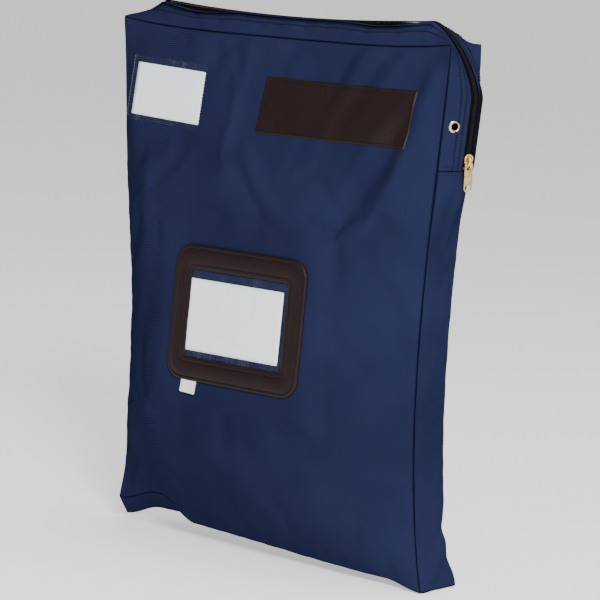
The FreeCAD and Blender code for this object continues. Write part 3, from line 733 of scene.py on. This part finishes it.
def ribbon_material():
    material, tree, shader = new_material("label_ribbon", (0.80, 0.80, 0.80), 0.6, Sheen_Weight=0.2)
    solid = add_node(tree, "ShaderNodeTexCoord").outputs["Object"]
    ribs = stripes(tree, solid, 0.0, 0.0007)
    tree.links.new(colour_ramp(tree, ribs, (0.0, (0.66, 0.67, 0.69)), (1.0, (0.88, 0.88, 0.88))),
                   shader.inputs["Base Color"])
    add_bump(tree, shader, ribs, 0.0002, 0.5)
    return material


def thread_material(name, dark, light):
    """Twisted thread."""
    material, tree, shader = new_material(name, dark, 0.6)
    shader.inputs["Specular IOR Level"].default_value = 0.2
    solid = add_node(tree, "ShaderNodeTexCoord").outputs["Object"]
    twist = cloud(tree, solid, 1800.0)
    tree.links.new(colour_ramp(tree, twist, (0.3, dark), (0.7, light)), shader.inputs["Base Color"])
    add_bump(tree, shader, twist, 0.0002, 0.6)
    return material


def floor_material():
    material, tree, shader = new_material("floor", (0.93, 0.93, 0.93), 0.7)
    shader.inputs["Emission Color"].default_value = (1.0, 1.0, 1.0, 1.0)
    shader.inputs["Emission Strength"].default_value = 0.55
    solid = add_node(tree, "ShaderNodeTexCoord").outputs["Object"]
    tree.links.new(colour_ramp(tree, cloud(tree, solid, 1.5), (0.3, (0.92, 0.92, 0.92)), (0.7, (0.94, 0.94, 0.94))),
                   shader.inputs["Base Color"])
    return material


NYLON = nylon()
ZIP_TAPE = zip_tape_material()
ZIP_COIL = coil_material()
LEATHER = leatherette()
BRASS = brass()
CARD = card_material()
FILM = film_material()
RIBBON = ribbon_material()
NAVY_THREAD = thread_material("navy_thread", (0.0016, 0.0030, 0.0090), (0.0045, 0.0080, 0.022))
BLACK_THREAD = thread_material("black_thread", (0.0015, 0.0012, 0.0012), (0.005, 0.004, 0.004))
PALE_THREAD = thread_material("pale_thread", (0.05, 0.07, 0.13), (0.16, 0.19, 0.28))


# ---- Cloth pieces of the shell ----
def refined(rows, sunk):
    """Adds a row beside each edge and sinks the edge, so that the cloth turns into its seam."""
    result = []
    for row in rows:
        first, last = row[0].lerp(row[1], 0.25), row[-1].lerp(row[-2], 0.25)
        result.append([row[0], first] + row[1:-1] + [last, row[-1]])
    near = [a.lerp(b, 0.25) for a, b in zip(result[0], result[1])]
    far = [a.lerp(b, 0.25) for a, b in zip(result[-1], result[-2])]
    result = [result[0], near] + result[1:-1] + [far, result[-1]]
    width, height = len(result[0]), len(result)
    for j, row in enumerate(result):
        for i, point in enumerate(row):
            edges = {"low": j == 0, "high": j == height - 1, "first": i == 0, "last": i == width - 1}
            if any(edges[name] for name in sunk):
                inward = (shell_middle(point) - point).normalized()
                row[i] = point + inward * SEAM_DEPTH
    return result


def shell_middle(point):
    """The point inside the bag that a seam sinks towards."""
    x = min(max(point.x, -160.0), 160.0)
    z = min(max(point.z, 14.0), 515.0)
    return Vector((x, 2.0, z))


def rows_of(name):
    return [[shell_points[number] for number in row] for row in shell_numbers[name]]


def cloth_piece(name, rows, outward, flat, *nodes):
    last = (len(rows) - 1, len(rows[0]) - 1)
    # painted shade along every edge of the piece, in its seam groove
    painted_shade = [1.0 if j in (0, last[0]) or i in (0, last[1]) else 0.0
              for j in range(last[0] + 1) for i in range(last[1] + 1)]
    piece = subdivide(grid_object(name, rows, NYLON, painted_shade=painted_shade), 2)
    face_outwards(piece, Vector(outward))
    return declare(piece, "nylon", *nodes, flat=flat, held="stretched")


grids = shell_grids()
shell_points, shell_numbers = weld(grids)
shell_points = simulate(shell_points, shell_numbers)

ALL_EDGES = ("low", "high", "first", "last")
FRONT_PANEL = cloth_piece("front_panel_cloth", refined(rows_of("front"), ALL_EDGES), (0, -1, 0),
                          (0.408, 0.540), "front_panel")
cloth_piece("back_panel_cloth", refined(rows_of("back"), ALL_EDGES), (0, 1, 0), (0.408, 0.540), "back_panel")
cloth_piece("left_gusset_cloth", refined(rows_of("left"), ALL_EDGES), (-1, 0, 0), (0.054, 0.540),
            "left_gusset")
RIGHT_GUSSET = cloth_piece("right_gusset_cloth", refined(rows_of("right"), ALL_EDGES), (1, 0, 0),
                           (0.054, 0.420), "right_gusset")
cloth_piece("bottom_gusset_cloth", refined(rows_of("bottom"), ALL_EDGES), (0, 0, -1), (0.054, 0.408),
            "bottom_gusset")


# ---- Zip: strips, tapes and coils ----
def point_along(points, distance):
    """The point at a distance in millimetres along a row of points, and past its end if asked."""
    for a, b in zip(points, points[1:]):
        length = (b - a).length
        if distance <= length:
            return a.lerp(b, distance / length)
        distance -= length
    return points[-1] + (points[-1] - points[-2]).normalized() * distance


def zip_frames():
    """Every station of the zip: its row of shell points, the way across and the way out."""
    rows = rows_of("top")
    frames = []
    for number, row in enumerate(rows):
        before, after = rows[max(0, number - 1)][5], rows[min(len(rows) - 1, number + 1)][5]
        across = (row[6] - row[4]).normalized()
        out = across.cross(after - before).normalized()
        if out.dot(row[5] - shell_middle(row[5])) < 0.0:
            out.negate()
        frames.append((row, across, out))
    return frames


def hem_height(from_edge):
    """Height over the strip's single cloth: doubled at the hem, pulled down by its stitches."""
    near, far = HEM_STITCHES
    doubled = 1.0 * (1.0 - smooth((from_edge - far - 1.5) / 2.0))
    dip = 0.55 * bump((from_edge - near) / 1.1) + 0.55 * bump((from_edge - far) / 1.1)
    return doubled - dip


def zip_strip(name, side, node, flat):
    """Cloth from a seam to its hemmed free edge beside the zip."""
    near, far = HEM_STITCHES
    rows, lines = [], ([], [])
    for row, across, out in ZIP_FRAMES:
        points = row[:5] if side < 0 else row[:5:-1]
        width = sum((b - a).length for a, b in zip(points, points[1:]))
        scale = width / 24.0
        from_edge = [width, width - 1.2, mix(width, far, 0.35), mix(width, far, 0.7), far + 3.0, far + 1.2,
                     far, far - 1.2, mix(near, far, 0.5), near + 1.2, near, near - 1.2, 2.0, 0.5]
        from_edge = [min(width, d * (scale if d < width - 1.3 else 1.0)) for d in from_edge]
        cloth = []
        for number, distance in enumerate(from_edge):
            point = point_along(points, width - distance)
            if number == 0:
                point = point + (shell_middle(point) - point).normalized() * SEAM_DEPTH
            else:
                point = point + out * hem_height(distance / scale) * (1.0 if side < 0 else 0.3)
            cloth.append(point)
        edge = points[-1]
        inward = (points[-2] - edge).normalized()
        cloth.append(edge + out * 0.5)
        cloth.append(edge - out * 0.5)
        cloth.append(edge + inward * 5.0 - out * 0.9)
        rows.append(cloth)
        for line, column in zip(lines, (10, 6)):
            line.append((cloth[column], out))
    # painted shade in the seam at column 0 and in the hem's stitch dips at columns 6 and 10
    painted_shade = [{0: 1.0, 6: 0.75, 10: 0.75}.get(column, 0.0) for row in rows for column in range(len(row))]
    piece = subdivide(grid_object(name, rows, NYLON, painted_shade=painted_shade), 2)
    for loop in piece.data.uv_layers["cloth"].data:
        loop.uv = (loop.uv[1], loop.uv[0])
    face_outwards(piece, Vector((0.3, 0, 1.0)))
    return declare(piece, "nylon", node, flat=flat, held="stretched"), lines


def zip_tape(name, side, node):
    rows = []
    for row, across, out in ZIP_FRAMES:
        edge, middle = row[4 if side < 0 else 6], row[5]
        rows.append([edge + across * (side * 5.0) - out * 1.7, edge - out * 1.7,
                     edge - across * (side * 1.5) - out * 1.1, middle + across * (side * 2.2) - out * 0.5,
                     middle + across * (side * 1.2) - out * 1.0])
    piece = subdivide(grid_object(name, rows, ZIP_TAPE), 1)
    face_outwards(piece, Vector((0.3, 0, 1.0)))
    declare(piece, "zip_tape", node, flat=(0.011, 0.56), held="stretched")


class Builder:
    """Collects small tubes into the points and faces of one mesh."""

    def __init__(self):
        self.points, self.faces = [], []

    def tube(self, centres, radii, side_way, flatten=1.0, sides=6):
        start = len(self.points)
        for number, (centre, radius) in enumerate(zip(centres, radii)):
            before, after = centres[max(0, number - 1)], centres[min(len(centres) - 1, number + 1)]
            along = (after - before).normalized()
            first = (side_way - along * side_way.dot(along)).normalized()
            second = along.cross(first)
            for k in range(sides):
                angle = math.tau * k / sides
                self.points.append(centre + first * (radius * flatten * math.cos(angle))
                                   + second * (radius * math.sin(angle)))
        for ring in range(len(centres) - 1):
            for k in range(sides):
                a, b = start + ring * sides + k, start + ring * sides + (k + 1) % sides
                self.faces.append((a, b, b + sides, a + sides))
        self.faces.append(tuple(range(start + sides - 1, start - 1, -1)))
        last = start + (len(centres) - 1) * sides
        self.faces.append(tuple(range(last, last + sides)))

    def finished(self, name, material, slot, *nodes, body="bag"):
        return declare(new_object(name, self.points, self.faces, material), slot, *nodes, body=body)


def stitch_line(builder, line, length=2.3, gap=1.0, radius=0.36, sink=0.25):
    """Thread along a line of (point, outward) pairs: each stitch dips into the cloth at its ends."""
    points = [point for point, out in line]
    ways = [out for point, out in line]
    total = [0.0]
    for a, b in zip(points, points[1:]):
        total.append(total[-1] + (b - a).length)

    def at(distance):
        number = 0
        while number < len(total) - 2 and total[number + 1] < distance:
            number += 1
        share = (distance - total[number]) / max(1e-6, total[number + 1] - total[number])
        return points[number].lerp(points[number + 1], share), ways[number].lerp(ways[number + 1], share)

    place_on = gap
    while place_on + length < total[-1]:
        centres = []
        for share, lift in ((0.0, -sink), (0.14, 0.16), (0.5, 0.28), (0.86, 0.16), (1.0, -sink)):
            point, out = at(place_on + length * share)
            centres.append(point + out * lift)
        builder.tube(centres, [radius * 0.6, radius, radius, radius, radius * 0.6], at(place_on)[1])
        place_on += length + gap


def zip_coil(name, side, node):
    """A nylon coil: one turn every 1.6 mm, its heads meeting the other coil's between turns."""
    pitch = 1.6
    builder = Builder()
    middles = [row[5] for row, across, out in ZIP_FRAMES]
    lengths = arc_lengths(middles)
    distance = 6.5 + (0.5 * pitch if side > 0 else 0.0)
    number = 0
    while distance * MM < lengths[-1] - 0.024:
        while lengths[number + 1] < distance * MM:
            number += 1
        share = (distance * MM - lengths[number]) / (lengths[number + 1] - lengths[number])
        (row, across, out), (row_b, across_b, out_b) = ZIP_FRAMES[number], ZIP_FRAMES[number + 1]
        middle, way, up = row[5].lerp(row_b[5], share), across.lerp(across_b, share), out.lerp(out_b, share)
        turn = [middle + way * (side * reach) + up * lift
                for reach, lift in ((-0.5, 0.0), (0.1, 0.35), (1.2, 0.55), (2.1, 0.3), (2.4, -0.2))]
        builder.tube(turn, [0.5, 0.68, 0.55, 0.55, 0.45], up, 0.85)
        distance += pitch
    builder.finished(name, ZIP_COIL, "zip_coil", node)


ZIP_FRAMES = zip_frames()
front_strip, front_lines = zip_strip("front_zip_strip_cloth", -1, "front_zip_strip", (0.026, 0.56))
back_strip, back_lines = zip_strip("back_zip_strip_cloth", 1, "back_zip_strip", (0.026, 0.56))
zip_tape("front_zip_tape_cloth", -1, "front_zip_tape")
zip_tape("back_zip_tape_cloth", 1, "back_zip_tape")
zip_coil("front_zip_coil_turns", -1, "front_zip_coil")
zip_coil("back_zip_coil_turns", 1, "back_zip_coil")
hem_thread = Builder()
for line in front_lines + back_lines:
    stitch_line(hem_thread, line)
hem_thread.finished("zip_hem_stitching", NAVY_THREAD, "nylon")


def surface_tree(piece):
    return BVHTree.FromObject(piece, bpy.context.evaluated_depsgraph_get())


def cross_seam_stitches():
    """Double stitching where the zip strips meet the right gusset."""
    thread = Builder()
    for piece, height, lines in ((RIGHT_GUSSET, 413.5, ((-25.0, 25.0),)), (front_strip, 421.5, ((-25.0, -7.0),)),
                                 (back_strip, 421.5, ((7.0, 25.0),))):
        tree = surface_tree(piece)
        for start, end in lines:
            line = []
            for k in range(25):
                origin = place(Vector((300.0, mix(start, end, k / 24), height)))
                hit, normal = tree.ray_cast(origin, Vector((-1.0, 0.0, 0.0)))[:2]
                if hit:
                    line.append((hit / MM - CENTRE, normal if normal.x > 0.0 else -normal))
            stitch_line(thread, line, radius=0.42)
    thread.finished("cross_seam_stitching", NAVY_THREAD, "nylon")


cross_seam_stitches()


# ---- Patch, window and pockets on the front ----
def on_front(x, z):
    """The point of the finished front panel at a place x, z, and its outward normal."""
    start = place(Vector((x, -250.0, z)))
    hit, normal = FRONT_TREE.ray_cast(start, Vector((0.0, 1.0, 0.0)))[:2]
    if normal.y > 0.0:
        normal.negate()
    return hit / MM - CENTRE, normal


def spaced_edges(low, high, offsets, count):
    """Places from low to high with extra ones close to both ends."""
    inner = [mix(low + offsets[-1], high - offsets[-1], k / count) for k in range(1, count)]
    return [low + d for d in offsets] + inner + [high - d for d in reversed(offsets)]


def on_patch(x, z):
    return on_front(x - PATCH_LEAN * (PATCH_Z[1] - z), z)


def leather_patch():
    offsets = (0.0, 0.5, 1.5, 3.0, 3.8, 4.6, 8.0)
    xs = spaced_edges(*PATCH_X, offsets, 24)
    zs = spaced_edges(*PATCH_Z, offsets, 7)
    rows = []
    for z in zs:
        row = []
        for x in xs:
            point, out = on_patch(x, z)
            edge = min(x - PATCH_X[0], PATCH_X[1] - x, z - PATCH_Z[0], PATCH_Z[1] - z)
            rise = -0.4 + 1.7 * smooth(edge / 1.2) - 0.45 * bump((edge - 3.8) / 1.0)
            row.append(point + out * rise)
        rows.append(row)
    piece = subdivide(grid_object("leather_patch_skin", rows, LEATHER), 2)
    face_outwards(piece, Vector((0, -1, 0)))
    declare(piece, "leatherette", "leather_patch", flat=(0.180, 0.057))
    thread = Builder()
    inset = 3.8
    low_x, high_x, low_z, high_z = PATCH_X[0] + inset, PATCH_X[1] - inset, PATCH_Z[0] + inset, PATCH_Z[1] - inset
    corners = ((low_x, low_z), (high_x, low_z), (high_x, high_z), (low_x, high_z), (low_x, low_z))
    for (x0, z0), (x1, z1) in zip(corners, corners[1:]):
        line = []
        for k in range(61):
            point, out = on_patch(mix(x0, x1, k / 60), mix(z0, z1, k / 60))
            line.append((point + out * 0.95, out))
        stitch_line(thread, line, length=2.4, gap=1.1, radius=0.38)
    thread.finished("patch_stitching", BLACK_THREAD, "leatherette")


def on_flat(flat, a, b, height):
    centre, across, up, out = flat
    return centre + across * a + up * b + out * height


def rounded_outline(size, corner, count):
    """Points round a rounded rectangle; the same count for any size, so that two can be joined."""
    half_w, half_h = size[0] / 2, size[1] / 2
    points = []
    for side_x, side_y, start in ((1, 1, 0), (-1, 1, 90), (-1, -1, 180), (1, -1, 270)):
        middle = Vector((side_x * (half_w - corner), side_y * (half_h - corner)))
        for k in range(count):
            angle = math.radians(start + 90.0 * k / (count - 1))
            points.append(middle + Vector((math.cos(angle), math.sin(angle))) * corner)
    result = []
    for a, b in zip(points, points[1:] + points[:1]):
        steps = max(1, round((b - a).length / 8.0)) if (b - a).length > 8.0 else 1
        if (b - a).length > 30.0:
            steps = 14
        result += [a.lerp(b, k / steps) for k in range(steps)]
    return result


def window_frame():
    """A padded leatherette band round the window, its left edge open for the card."""
    outer = rounded_outline(FRAME_SIZE, FRAME_CORNER, 9)
    inner = rounded_outline(WINDOW_SIZE, 3.0, 9)
    profile = ((0.0, -0.9), (0.01, 0.9), (0.06, 2.2), (0.13, 2.35), (0.17, 1.75), (0.21, 2.4), (0.35, 2.95),
               (0.55, 3.0), (0.70, 2.7), (0.76, 2.4), (0.795, 1.85), (0.83, 2.3), (0.95, 2.0), (1.0, 1.3), (1.0, 0.8))
    rows, threads = [], ([], [])
    out = WINDOW_FLAT[3]
    for share, height in profile:
        row = []
        for a, b in zip(outer, inner):
            spot = a.lerp(b, share)
            rise = height + 0.35 * noise.noise(Vector((spot.x / 22.0, spot.y / 22.0, 4.0)))
            if share == 0.0 and spot.x < -FRAME_SIZE[0] / 2 + 4.0:
                rise = 0.75
            row.append(on_flat(WINDOW_FLAT, spot.x + FRAME_SHIFT[0], spot.y + FRAME_SHIFT[1], rise))
        rows.append(row)
    for line, row in zip(threads, (rows[4], rows[10])):
        for point, spot in zip(row, outer):
            line.append((point + out * 0.12, out, spot))
    piece = grid_object("window_frame_skin", rows, LEATHER, closed=True)
    declare(subdivide(face_outwards(piece, out), 2), "leatherette", "window_frame")
    thread = Builder()
    for line, width in zip(threads, (FRAME_SIZE[0], WINDOW_SIZE[0])):
        open_side = [k for k, (point, way, spot) in enumerate(line) if spot.x <= 9.0 - width / 2]
        start = open_side[-1] + 1
        sewn = (line + line)[start:start + len(line) - len(open_side)]
        stitch_line(thread, [(point, way) for point, way, spot in sewn], length=2.5, gap=1.2, radius=0.40)
    thread.finished("window_stitching", BLACK_THREAD, "leatherette")


def flat_sheet(name, flat, shift, size, height, material, body, slot, node, wave=0.0, corner=1.5):
    """A thin sheet with two faces and rounded corners, slightly uneven."""
    columns, levels = 26, 16
    rows = []
    for j in range(levels + 1):
        row = []
        for i in range(columns + 1):
            u, v = 2.0 * i / columns - 1.0, 2.0 * j / levels - 1.0
            a, b = u * size[0] / 2, v * size[1] / 2
            near = max(0.0, abs(a) - size[0] / 2 + corner) ** 2 + max(0.0, abs(b) - size[1] / 2 + corner) ** 2
            if near > corner ** 2:
                pull = 1.0 - (1.0 - corner / math.sqrt(near)) * 0.5
                a = math.copysign(size[0] / 2 - corner + (abs(a) - size[0] / 2 + corner) * pull, a)
                b = math.copysign(size[1] / 2 - corner + (abs(b) - size[1] / 2 + corner) * pull, b)
            rise = height + wave * noise.noise(Vector((a / 30.0, b / 30.0, height)))
            row.append(on_flat(flat, a + shift[0], b + shift[1], rise))
        rows.append(row)
    piece = grid_object(name, rows, material)
    face_outwards(piece, flat[3])
    if material != FILM:
        solid = piece.modifiers.new("Solidify", "SOLIDIFY")
        solid.thickness = 0.35 * MM
        solid.offset = 0.0
    return declare(piece, slot, node, body=body)


def card_pocket():
    """Clear pocket with the card's corner showing, sewn along three edges."""
    film = flat_sheet("card_pocket_film", POCKET_FLAT, POCKET_SHIFT, POCKET_SIZE, 0.75, FILM, "bag",
                      "clear_vinyl", "card_pocket", wave=0.25)
    half_w, half_h = POCKET_SIZE[0] / 2, POCKET_SIZE[1] / 2
    corners = ((-half_w, half_h), (-half_w, -half_h), (half_w, -half_h), (half_w, half_h))
    inset = 2.0
    out = POCKET_FLAT[3]
    for name, material, (a0, b0), (a1, b1) in zip(("left", "lower", "right"), (PALE_THREAD, NAVY_THREAD, NAVY_THREAD),
                                                  corners, corners[1:]):
        thread = Builder()
        line = []
        for k in range(31):
            a, b = mix(a0, a1, k / 30), mix(b0, b1, k / 30)
            a = max(-half_w + inset, min(half_w - inset, a)) + POCKET_SHIFT[0]
            b = max(-half_h + inset, b) + POCKET_SHIFT[1]
            line.append((on_flat(POCKET_FLAT, a, b, 1.0), out))
        stitch_line(thread, line, length=2.2, gap=1.1, radius=0.26)
        thread.finished("pocket_stitching_" + name, material, "clear_vinyl")


def label_tab():
    """A folded strip of blank white ribbon, held under the frame's lower edge."""
    width, length = 19.0, 15.5
    middle = FRAME_SHIFT[0] - 53.0
    top = FRAME_SHIFT[1] - FRAME_SIZE[1] / 2 + 2.5
    rows = []
    for down, height in ((0.0, 1.6), (2.0, 1.5), (6.0, 1.2), (11.0, 1.35), (14.6, 1.3), (length, 0.75), (14.6, 0.2),
                         (11.0, 0.1), (6.0, 0.0), (0.0, 0.0)):
        row = []
        for k in range(9):
            a = width * (k / 8 - 0.5) - 0.10 * down
            row.append(on_flat(WINDOW_FLAT, middle + a, top - down - 0.06 * a,
                               height - 0.5 + 0.25 * math.sin(k * 0.9)))
        rows.append(row)
    piece = subdivide(grid_object("label_tab_ribbon", rows, RIBBON), 2)
    declare(piece, "label_ribbon", "label_tab", flat=(0.019, 0.031), held="folded")


FRONT_TREE = surface_tree(FRONT_PANEL)
leather_patch()
window_frame()
window = flat_sheet("window_film_sheet", WINDOW_FLAT, FRAME_SHIFT, (142.0, 108.0), 0.75, FILM, "bag", "clear_vinyl",
                    "window_film", wave=0.2)
flat_sheet("address_card_stock", WINDOW_FLAT, ADDRESS_CARD_SHIFT, ADDRESS_CARD, 0.0, CARD, "address_card", "card",
           "address_card")
card_pocket()
flat_sheet("deposit_card_stock", POCKET_FLAT, (1.0, 1.5), DEPOSIT_CARD, 0.0, CARD, "deposit_card", "card",
           "deposit_card")
label_tab()


# ---- Brass: eyelet, slider and pull ----
SIDE_ALONG = (ZIP_HIGH - ZIP_LOW).normalized()
SIDE_OUT = ZIP_ACROSS.cross(SIDE_ALONG).normalized()
SLIDER_AT = ZIP_LOW.lerp(ZIP_HIGH, (SLIDER_HEIGHT - ZIP_LOW.z) / (ZIP_HIGH.z - ZIP_LOW.z))


def welded(piece):
    shape = bmesh.new()
    shape.from_mesh(piece.data)
    bmesh.ops.remove_doubles(shape, verts=shape.verts, dist=1e-6)
    bmesh.ops.recalc_face_normals(shape, faces=shape.faces)
    shape.to_mesh(piece.data)
    shape.free()
    return piece


def lathe(name, profile, centre, axis, steps=48):
    """A ring turned from a closed profile of (radius, height) pairs."""
    first = axis.orthogonal().normalized()
    second = axis.cross(first)
    rows = []
    for k in range(steps + 1):
        angle = math.tau * k / steps
        way = first * math.cos(angle) + second * math.sin(angle)
        rows.append([centre + way * radius + axis * height for radius, height in profile + profile[:1]])
    return welded(grid_object(name, rows, BRASS))


def outline_plate(name, outlines, thickness, bevel, centre, across, up, body, *nodes):
    """A stamped plate with holes, from closed outlines in the plane of across and up."""
    curve = bpy.data.curves.new(name, "CURVE")
    curve.dimensions = "2D"
    curve.fill_mode = "BOTH"
    curve.extrude = (thickness / 2 - bevel) * MM
    curve.bevel_depth = bevel * MM
    curve.bevel_resolution = 3
    for outline in outlines:
        spline = curve.splines.new("POLY")
        spline.points.add(len(outline) - 1)
        for knot, (a, b) in zip(spline.points, outline):
            knot.co = (a * MM, b * MM, 0.0, 1.0)
        spline.use_cyclic_u = True
    template = bpy.data.objects.new(name, curve)
    mesh = bpy.data.meshes.new_from_object(template)
    bpy.data.objects.remove(template)
    turn = Matrix((across, up, across.cross(up))).transposed().to_4x4()
    mesh.transform(Matrix.Translation(place(centre)) @ turn)
    mesh.materials.clear()
    mesh.materials.append(BRASS)
    piece = bpy.data.objects.new(name, mesh)
    bpy.context.scene.collection.objects.link(piece)
    declare(welded(piece), "brass", *nodes, body=body)


def arc(middle, radius, start, end, count):
    """Points of an arc, angles in degrees."""
    points = []
    for k in range(count):
        angle = math.radians(mix(start, end, k / (count - 1)))
        points.append((middle[0] + radius * math.cos(angle), middle[1] + radius * math.sin(angle)))
    return points


def eyelet():
    low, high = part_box("eyelet")
    centre = (Vector(low) + Vector(high)) / 2.0 / MM - CENTRE
    front, back = [row for row, across, out in ZIP_FRAMES if row[0].z < 470.0][-1][0:5:4]
    out = (back - front).cross(SIDE_ALONG).normalized()
    out = out if out.x > 0.0 else -out
    dome = [(3.45, -1.8), (3.45, 0.7), (3.7, 1.1), (4.3, 1.45), (5.0, 1.5), (5.7, 1.3), (6.25, 0.9), (6.45, 0.4),
            (6.3, 0.1), (4.0, 0.0), (4.0, -1.8)]
    centre = centre + out * 0.2
    declare(lathe("eyelet_ring", dome, centre, out), "brass", "eyelet")
    washer = [(4.1, -1.9), (6.1, -1.9), (6.3, -1.6), (6.1, -1.3), (4.1, -1.3)]
    declare(lathe("eyelet_back_washer", washer, centre, out), "brass", "eyelet_washer")
    return centre, out


def cut_round(piece, centre, axis, radius):
    """Applies the subdivision and opens a hole in the cloth, under the eyelet's flange."""
    evaluated = piece.evaluated_get(bpy.context.evaluated_depsgraph_get())
    mesh = bpy.data.meshes.new_from_object(evaluated)
    shape = bmesh.new()
    shape.from_mesh(mesh)
    doomed = []
    for face in shape.faces:
        offset = face.calc_center_median() / MM - CENTRE - centre
        if (offset - axis * offset.dot(axis)).length < radius and abs(offset.dot(axis)) < 6.0:
            doomed.append(face)
    bmesh.ops.delete(shape, geom=doomed, context="FACES")
    shape.to_mesh(mesh)
    shape.free()
    piece.modifiers.clear()
    piece.data = mesh


def slider():
    """Two waisted plates joined by walls, with an arched bail for the pull."""
    outline = arc((0, 1.5), 4.6, 15, 165, 15) + arc((0, -2.6), 3.3, 195, 345, 13)
    for name, side, thickness, nodes in (("top", 1, 1.3, ["zip_slider"]), ("back", -1, 1.2, [])):
        outline_plate("slider_" + name + "_plate", [outline], thickness, 0.35, SLIDER_AT + SIDE_OUT * side * 1.95,
                      ZIP_ACROSS, SIDE_ALONG, "slider", *nodes)
    for side in (-1, 1):
        wall = [(side * 3.5 - 0.45, -2.8), (side * 3.5 + 0.45, -2.8), (side * 3.9 + 0.45, 2.8),
                (side * 3.9 - 0.45, 2.8)]
        outline_plate("slider_wall_" + ("front" if side < 0 else "back"), [wall], 3.2, 0.1, SLIDER_AT,
                      ZIP_ACROSS, SIDE_ALONG, "slider")
    bail = Builder()
    centres, radii = [], []
    for k in range(17):
        angle = math.pi * k / 16
        centres.append(SLIDER_AT + SIDE_ALONG * (4.2 * math.cos(angle))
                       + SIDE_OUT * (2.0 + 3.5 * math.sin(angle) ** 0.6))
        radii.append(0.95 + 0.35 * abs(math.cos(angle)))
    bail.tube(centres, radii, ZIP_ACROSS, 1.5, sides=14)
    bail.finished("slider_bail", BRASS, "brass", body="slider")


def pull():
    """A stamped tab: rounded shoulders, a three-cornered eye round the bail and a large round hole."""
    end = -24.6
    outer = arc((1.7, -1.9), 2.4, 0, 90, 8) + arc((-1.7, -1.9), 2.4, 90, 180, 8) + arc((0, end), 4.1, 180, 360, 25)
    eye = arc((0, -1.9), 1.0, 30, 150, 7) + arc((-1.5, -6.6), 0.9, 170, 260, 6) + arc((1.5, -6.6), 0.9, 280, 370, 6)
    hole = arc((0, end), 3.25, 0, 352.5, 47)
    low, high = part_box("pull_tab")
    centre = (Vector(low) + Vector(high)) / 2.0 / MM - CENTRE
    centre.z = high[2] / MM - CENTRE.z - 0.2
    outline_plate("pull_tab_plate", [outer, eye, hole], 1.2, 0.35, centre, ZIP_ACROSS, Vector((0, 0, 1)), "pull",
                  "pull_tab")


eyelet_centre, eyelet_out = eyelet()
cut_round(front_strip, eyelet_centre, eyelet_out, 4.9)
slider()
pull()
for node in ("zip_top_stops", "zip_bottom_stop"):
    for number in range(len(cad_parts[node].material_slots)):
        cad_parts[node].material_slots[number].material = BRASS


# ---- Bound seam allowances inside the bag ----
BINDING_OFF_PANEL = (1.6, 2.4, 2.8)      # at half a cell, one cell and two cells in from the seam


def seam_binding(name, panel, node):
    """Tape round a panel's edge, lying against the panel's inner face."""
    grid = rows_of(panel)
    last, side = len(grid) - 1, len(grid[0]) - 1
    loop = [(j, 0) for j in range(last)] + [(last, i) for i in range(side)]
    loop += [(j, side) for j in range(last, 0, -1)] + [(0, i) for i in range(side, 0, -1)]
    inner = Vector((0.0, 1.0 if panel == "front" else -1.0, 0.0))
    rows = []
    for j, i in loop + loop[:1]:
        one, two = [grid[min(max(j, k), last - k)][min(max(i, k), side - k)] for k in (1, 2)]
        followed = (grid[j][i].lerp(one, 0.5), one, two)
        rows.append([point + inner * off for point, off in zip(followed, BINDING_OFF_PANEL)])
    piece = subdivide(grid_object(name, rows, ZIP_TAPE), 1)
    declare(piece, "binding", node, flat=(0.011, 1.85), held="stretched")


seam_binding("front_seam_tape", "front", "front_seam_binding")
seam_binding("back_seam_tape", "back", "back_seam_binding")


# ---- Camera, light and floor ----
def camera():
    azimuth, elevation, roll = math.radians(35.104), math.radians(8.714), math.radians(2.838)
    distance = 2.720553
    target = Vector((0.015965, 0.009, 0.268034))
    back = Vector((math.sin(azimuth) * math.cos(elevation), -math.cos(azimuth) * math.cos(elevation),
                   math.sin(elevation)))
    right = Vector((math.cos(azimuth), math.sin(azimuth), 0.0))
    up = back.cross(right)
    right, up = (right * math.cos(roll) + up * math.sin(roll), up * math.cos(roll) - right * math.sin(roll))
    data = bpy.data.cameras.new("camera")
    data.sensor_width = 36.0
    data.lens = 2680.518 / 600.0 * 36.0
    data.clip_end = 100.0
    eye = bpy.data.objects.new("camera", data)
    turn = Matrix((right, up, back)).transposed().to_4x4()
    eye.matrix_world = Matrix.Translation(target + back * distance) @ turn
    bpy.context.scene.collection.objects.link(eye)
    bpy.context.scene.camera = eye


def area_light(name, place_at, aim, size, power):
    data = bpy.data.lights.new(name, "AREA")
    data.shape = "DISK"
    data.size = size
    data.energy = power
    lamp = bpy.data.objects.new(name, data)
    lamp.location = place_at
    lamp.rotation_euler = (Vector(aim) - Vector(place_at)).to_track_quat("-Z", "Y").to_euler()
    bpy.context.scene.collection.objects.link(lamp)


def studio():
    mesh = bpy.data.meshes.new("floor")
    side = 20.0
    mesh.from_pydata([(-side, -side, 0), (side, -side, 0), (side, side, 0), (-side, side, 0)], [], [(0, 1, 2, 3)])
    mesh.materials.append(floor_material())
    floor = bpy.data.objects.new("floor", mesh)
    bpy.context.scene.collection.objects.link(floor)
    world = bpy.data.worlds.new("studio")
    world.use_nodes = True
    sky = world.node_tree.nodes["Background"]
    sky.inputs["Color"].default_value = (1.0, 1.0, 1.0, 1.0)
    sky.inputs["Strength"].default_value = 0.38
    bpy.context.scene.world = world
    area_light("key", (2.0, -1.9, 1.95), (0.06, 0.0, 0.36), 0.8, 132.0)
    area_light("side", (2.6, -0.4, 1.2), (0.0, 0.0, 0.25), 1.0, 14.0)
    area_light("top", (0.3, 0.3, 2.6), (0.0, 0.0, 0.3), 1.4, 24.0)


studio()
camera()
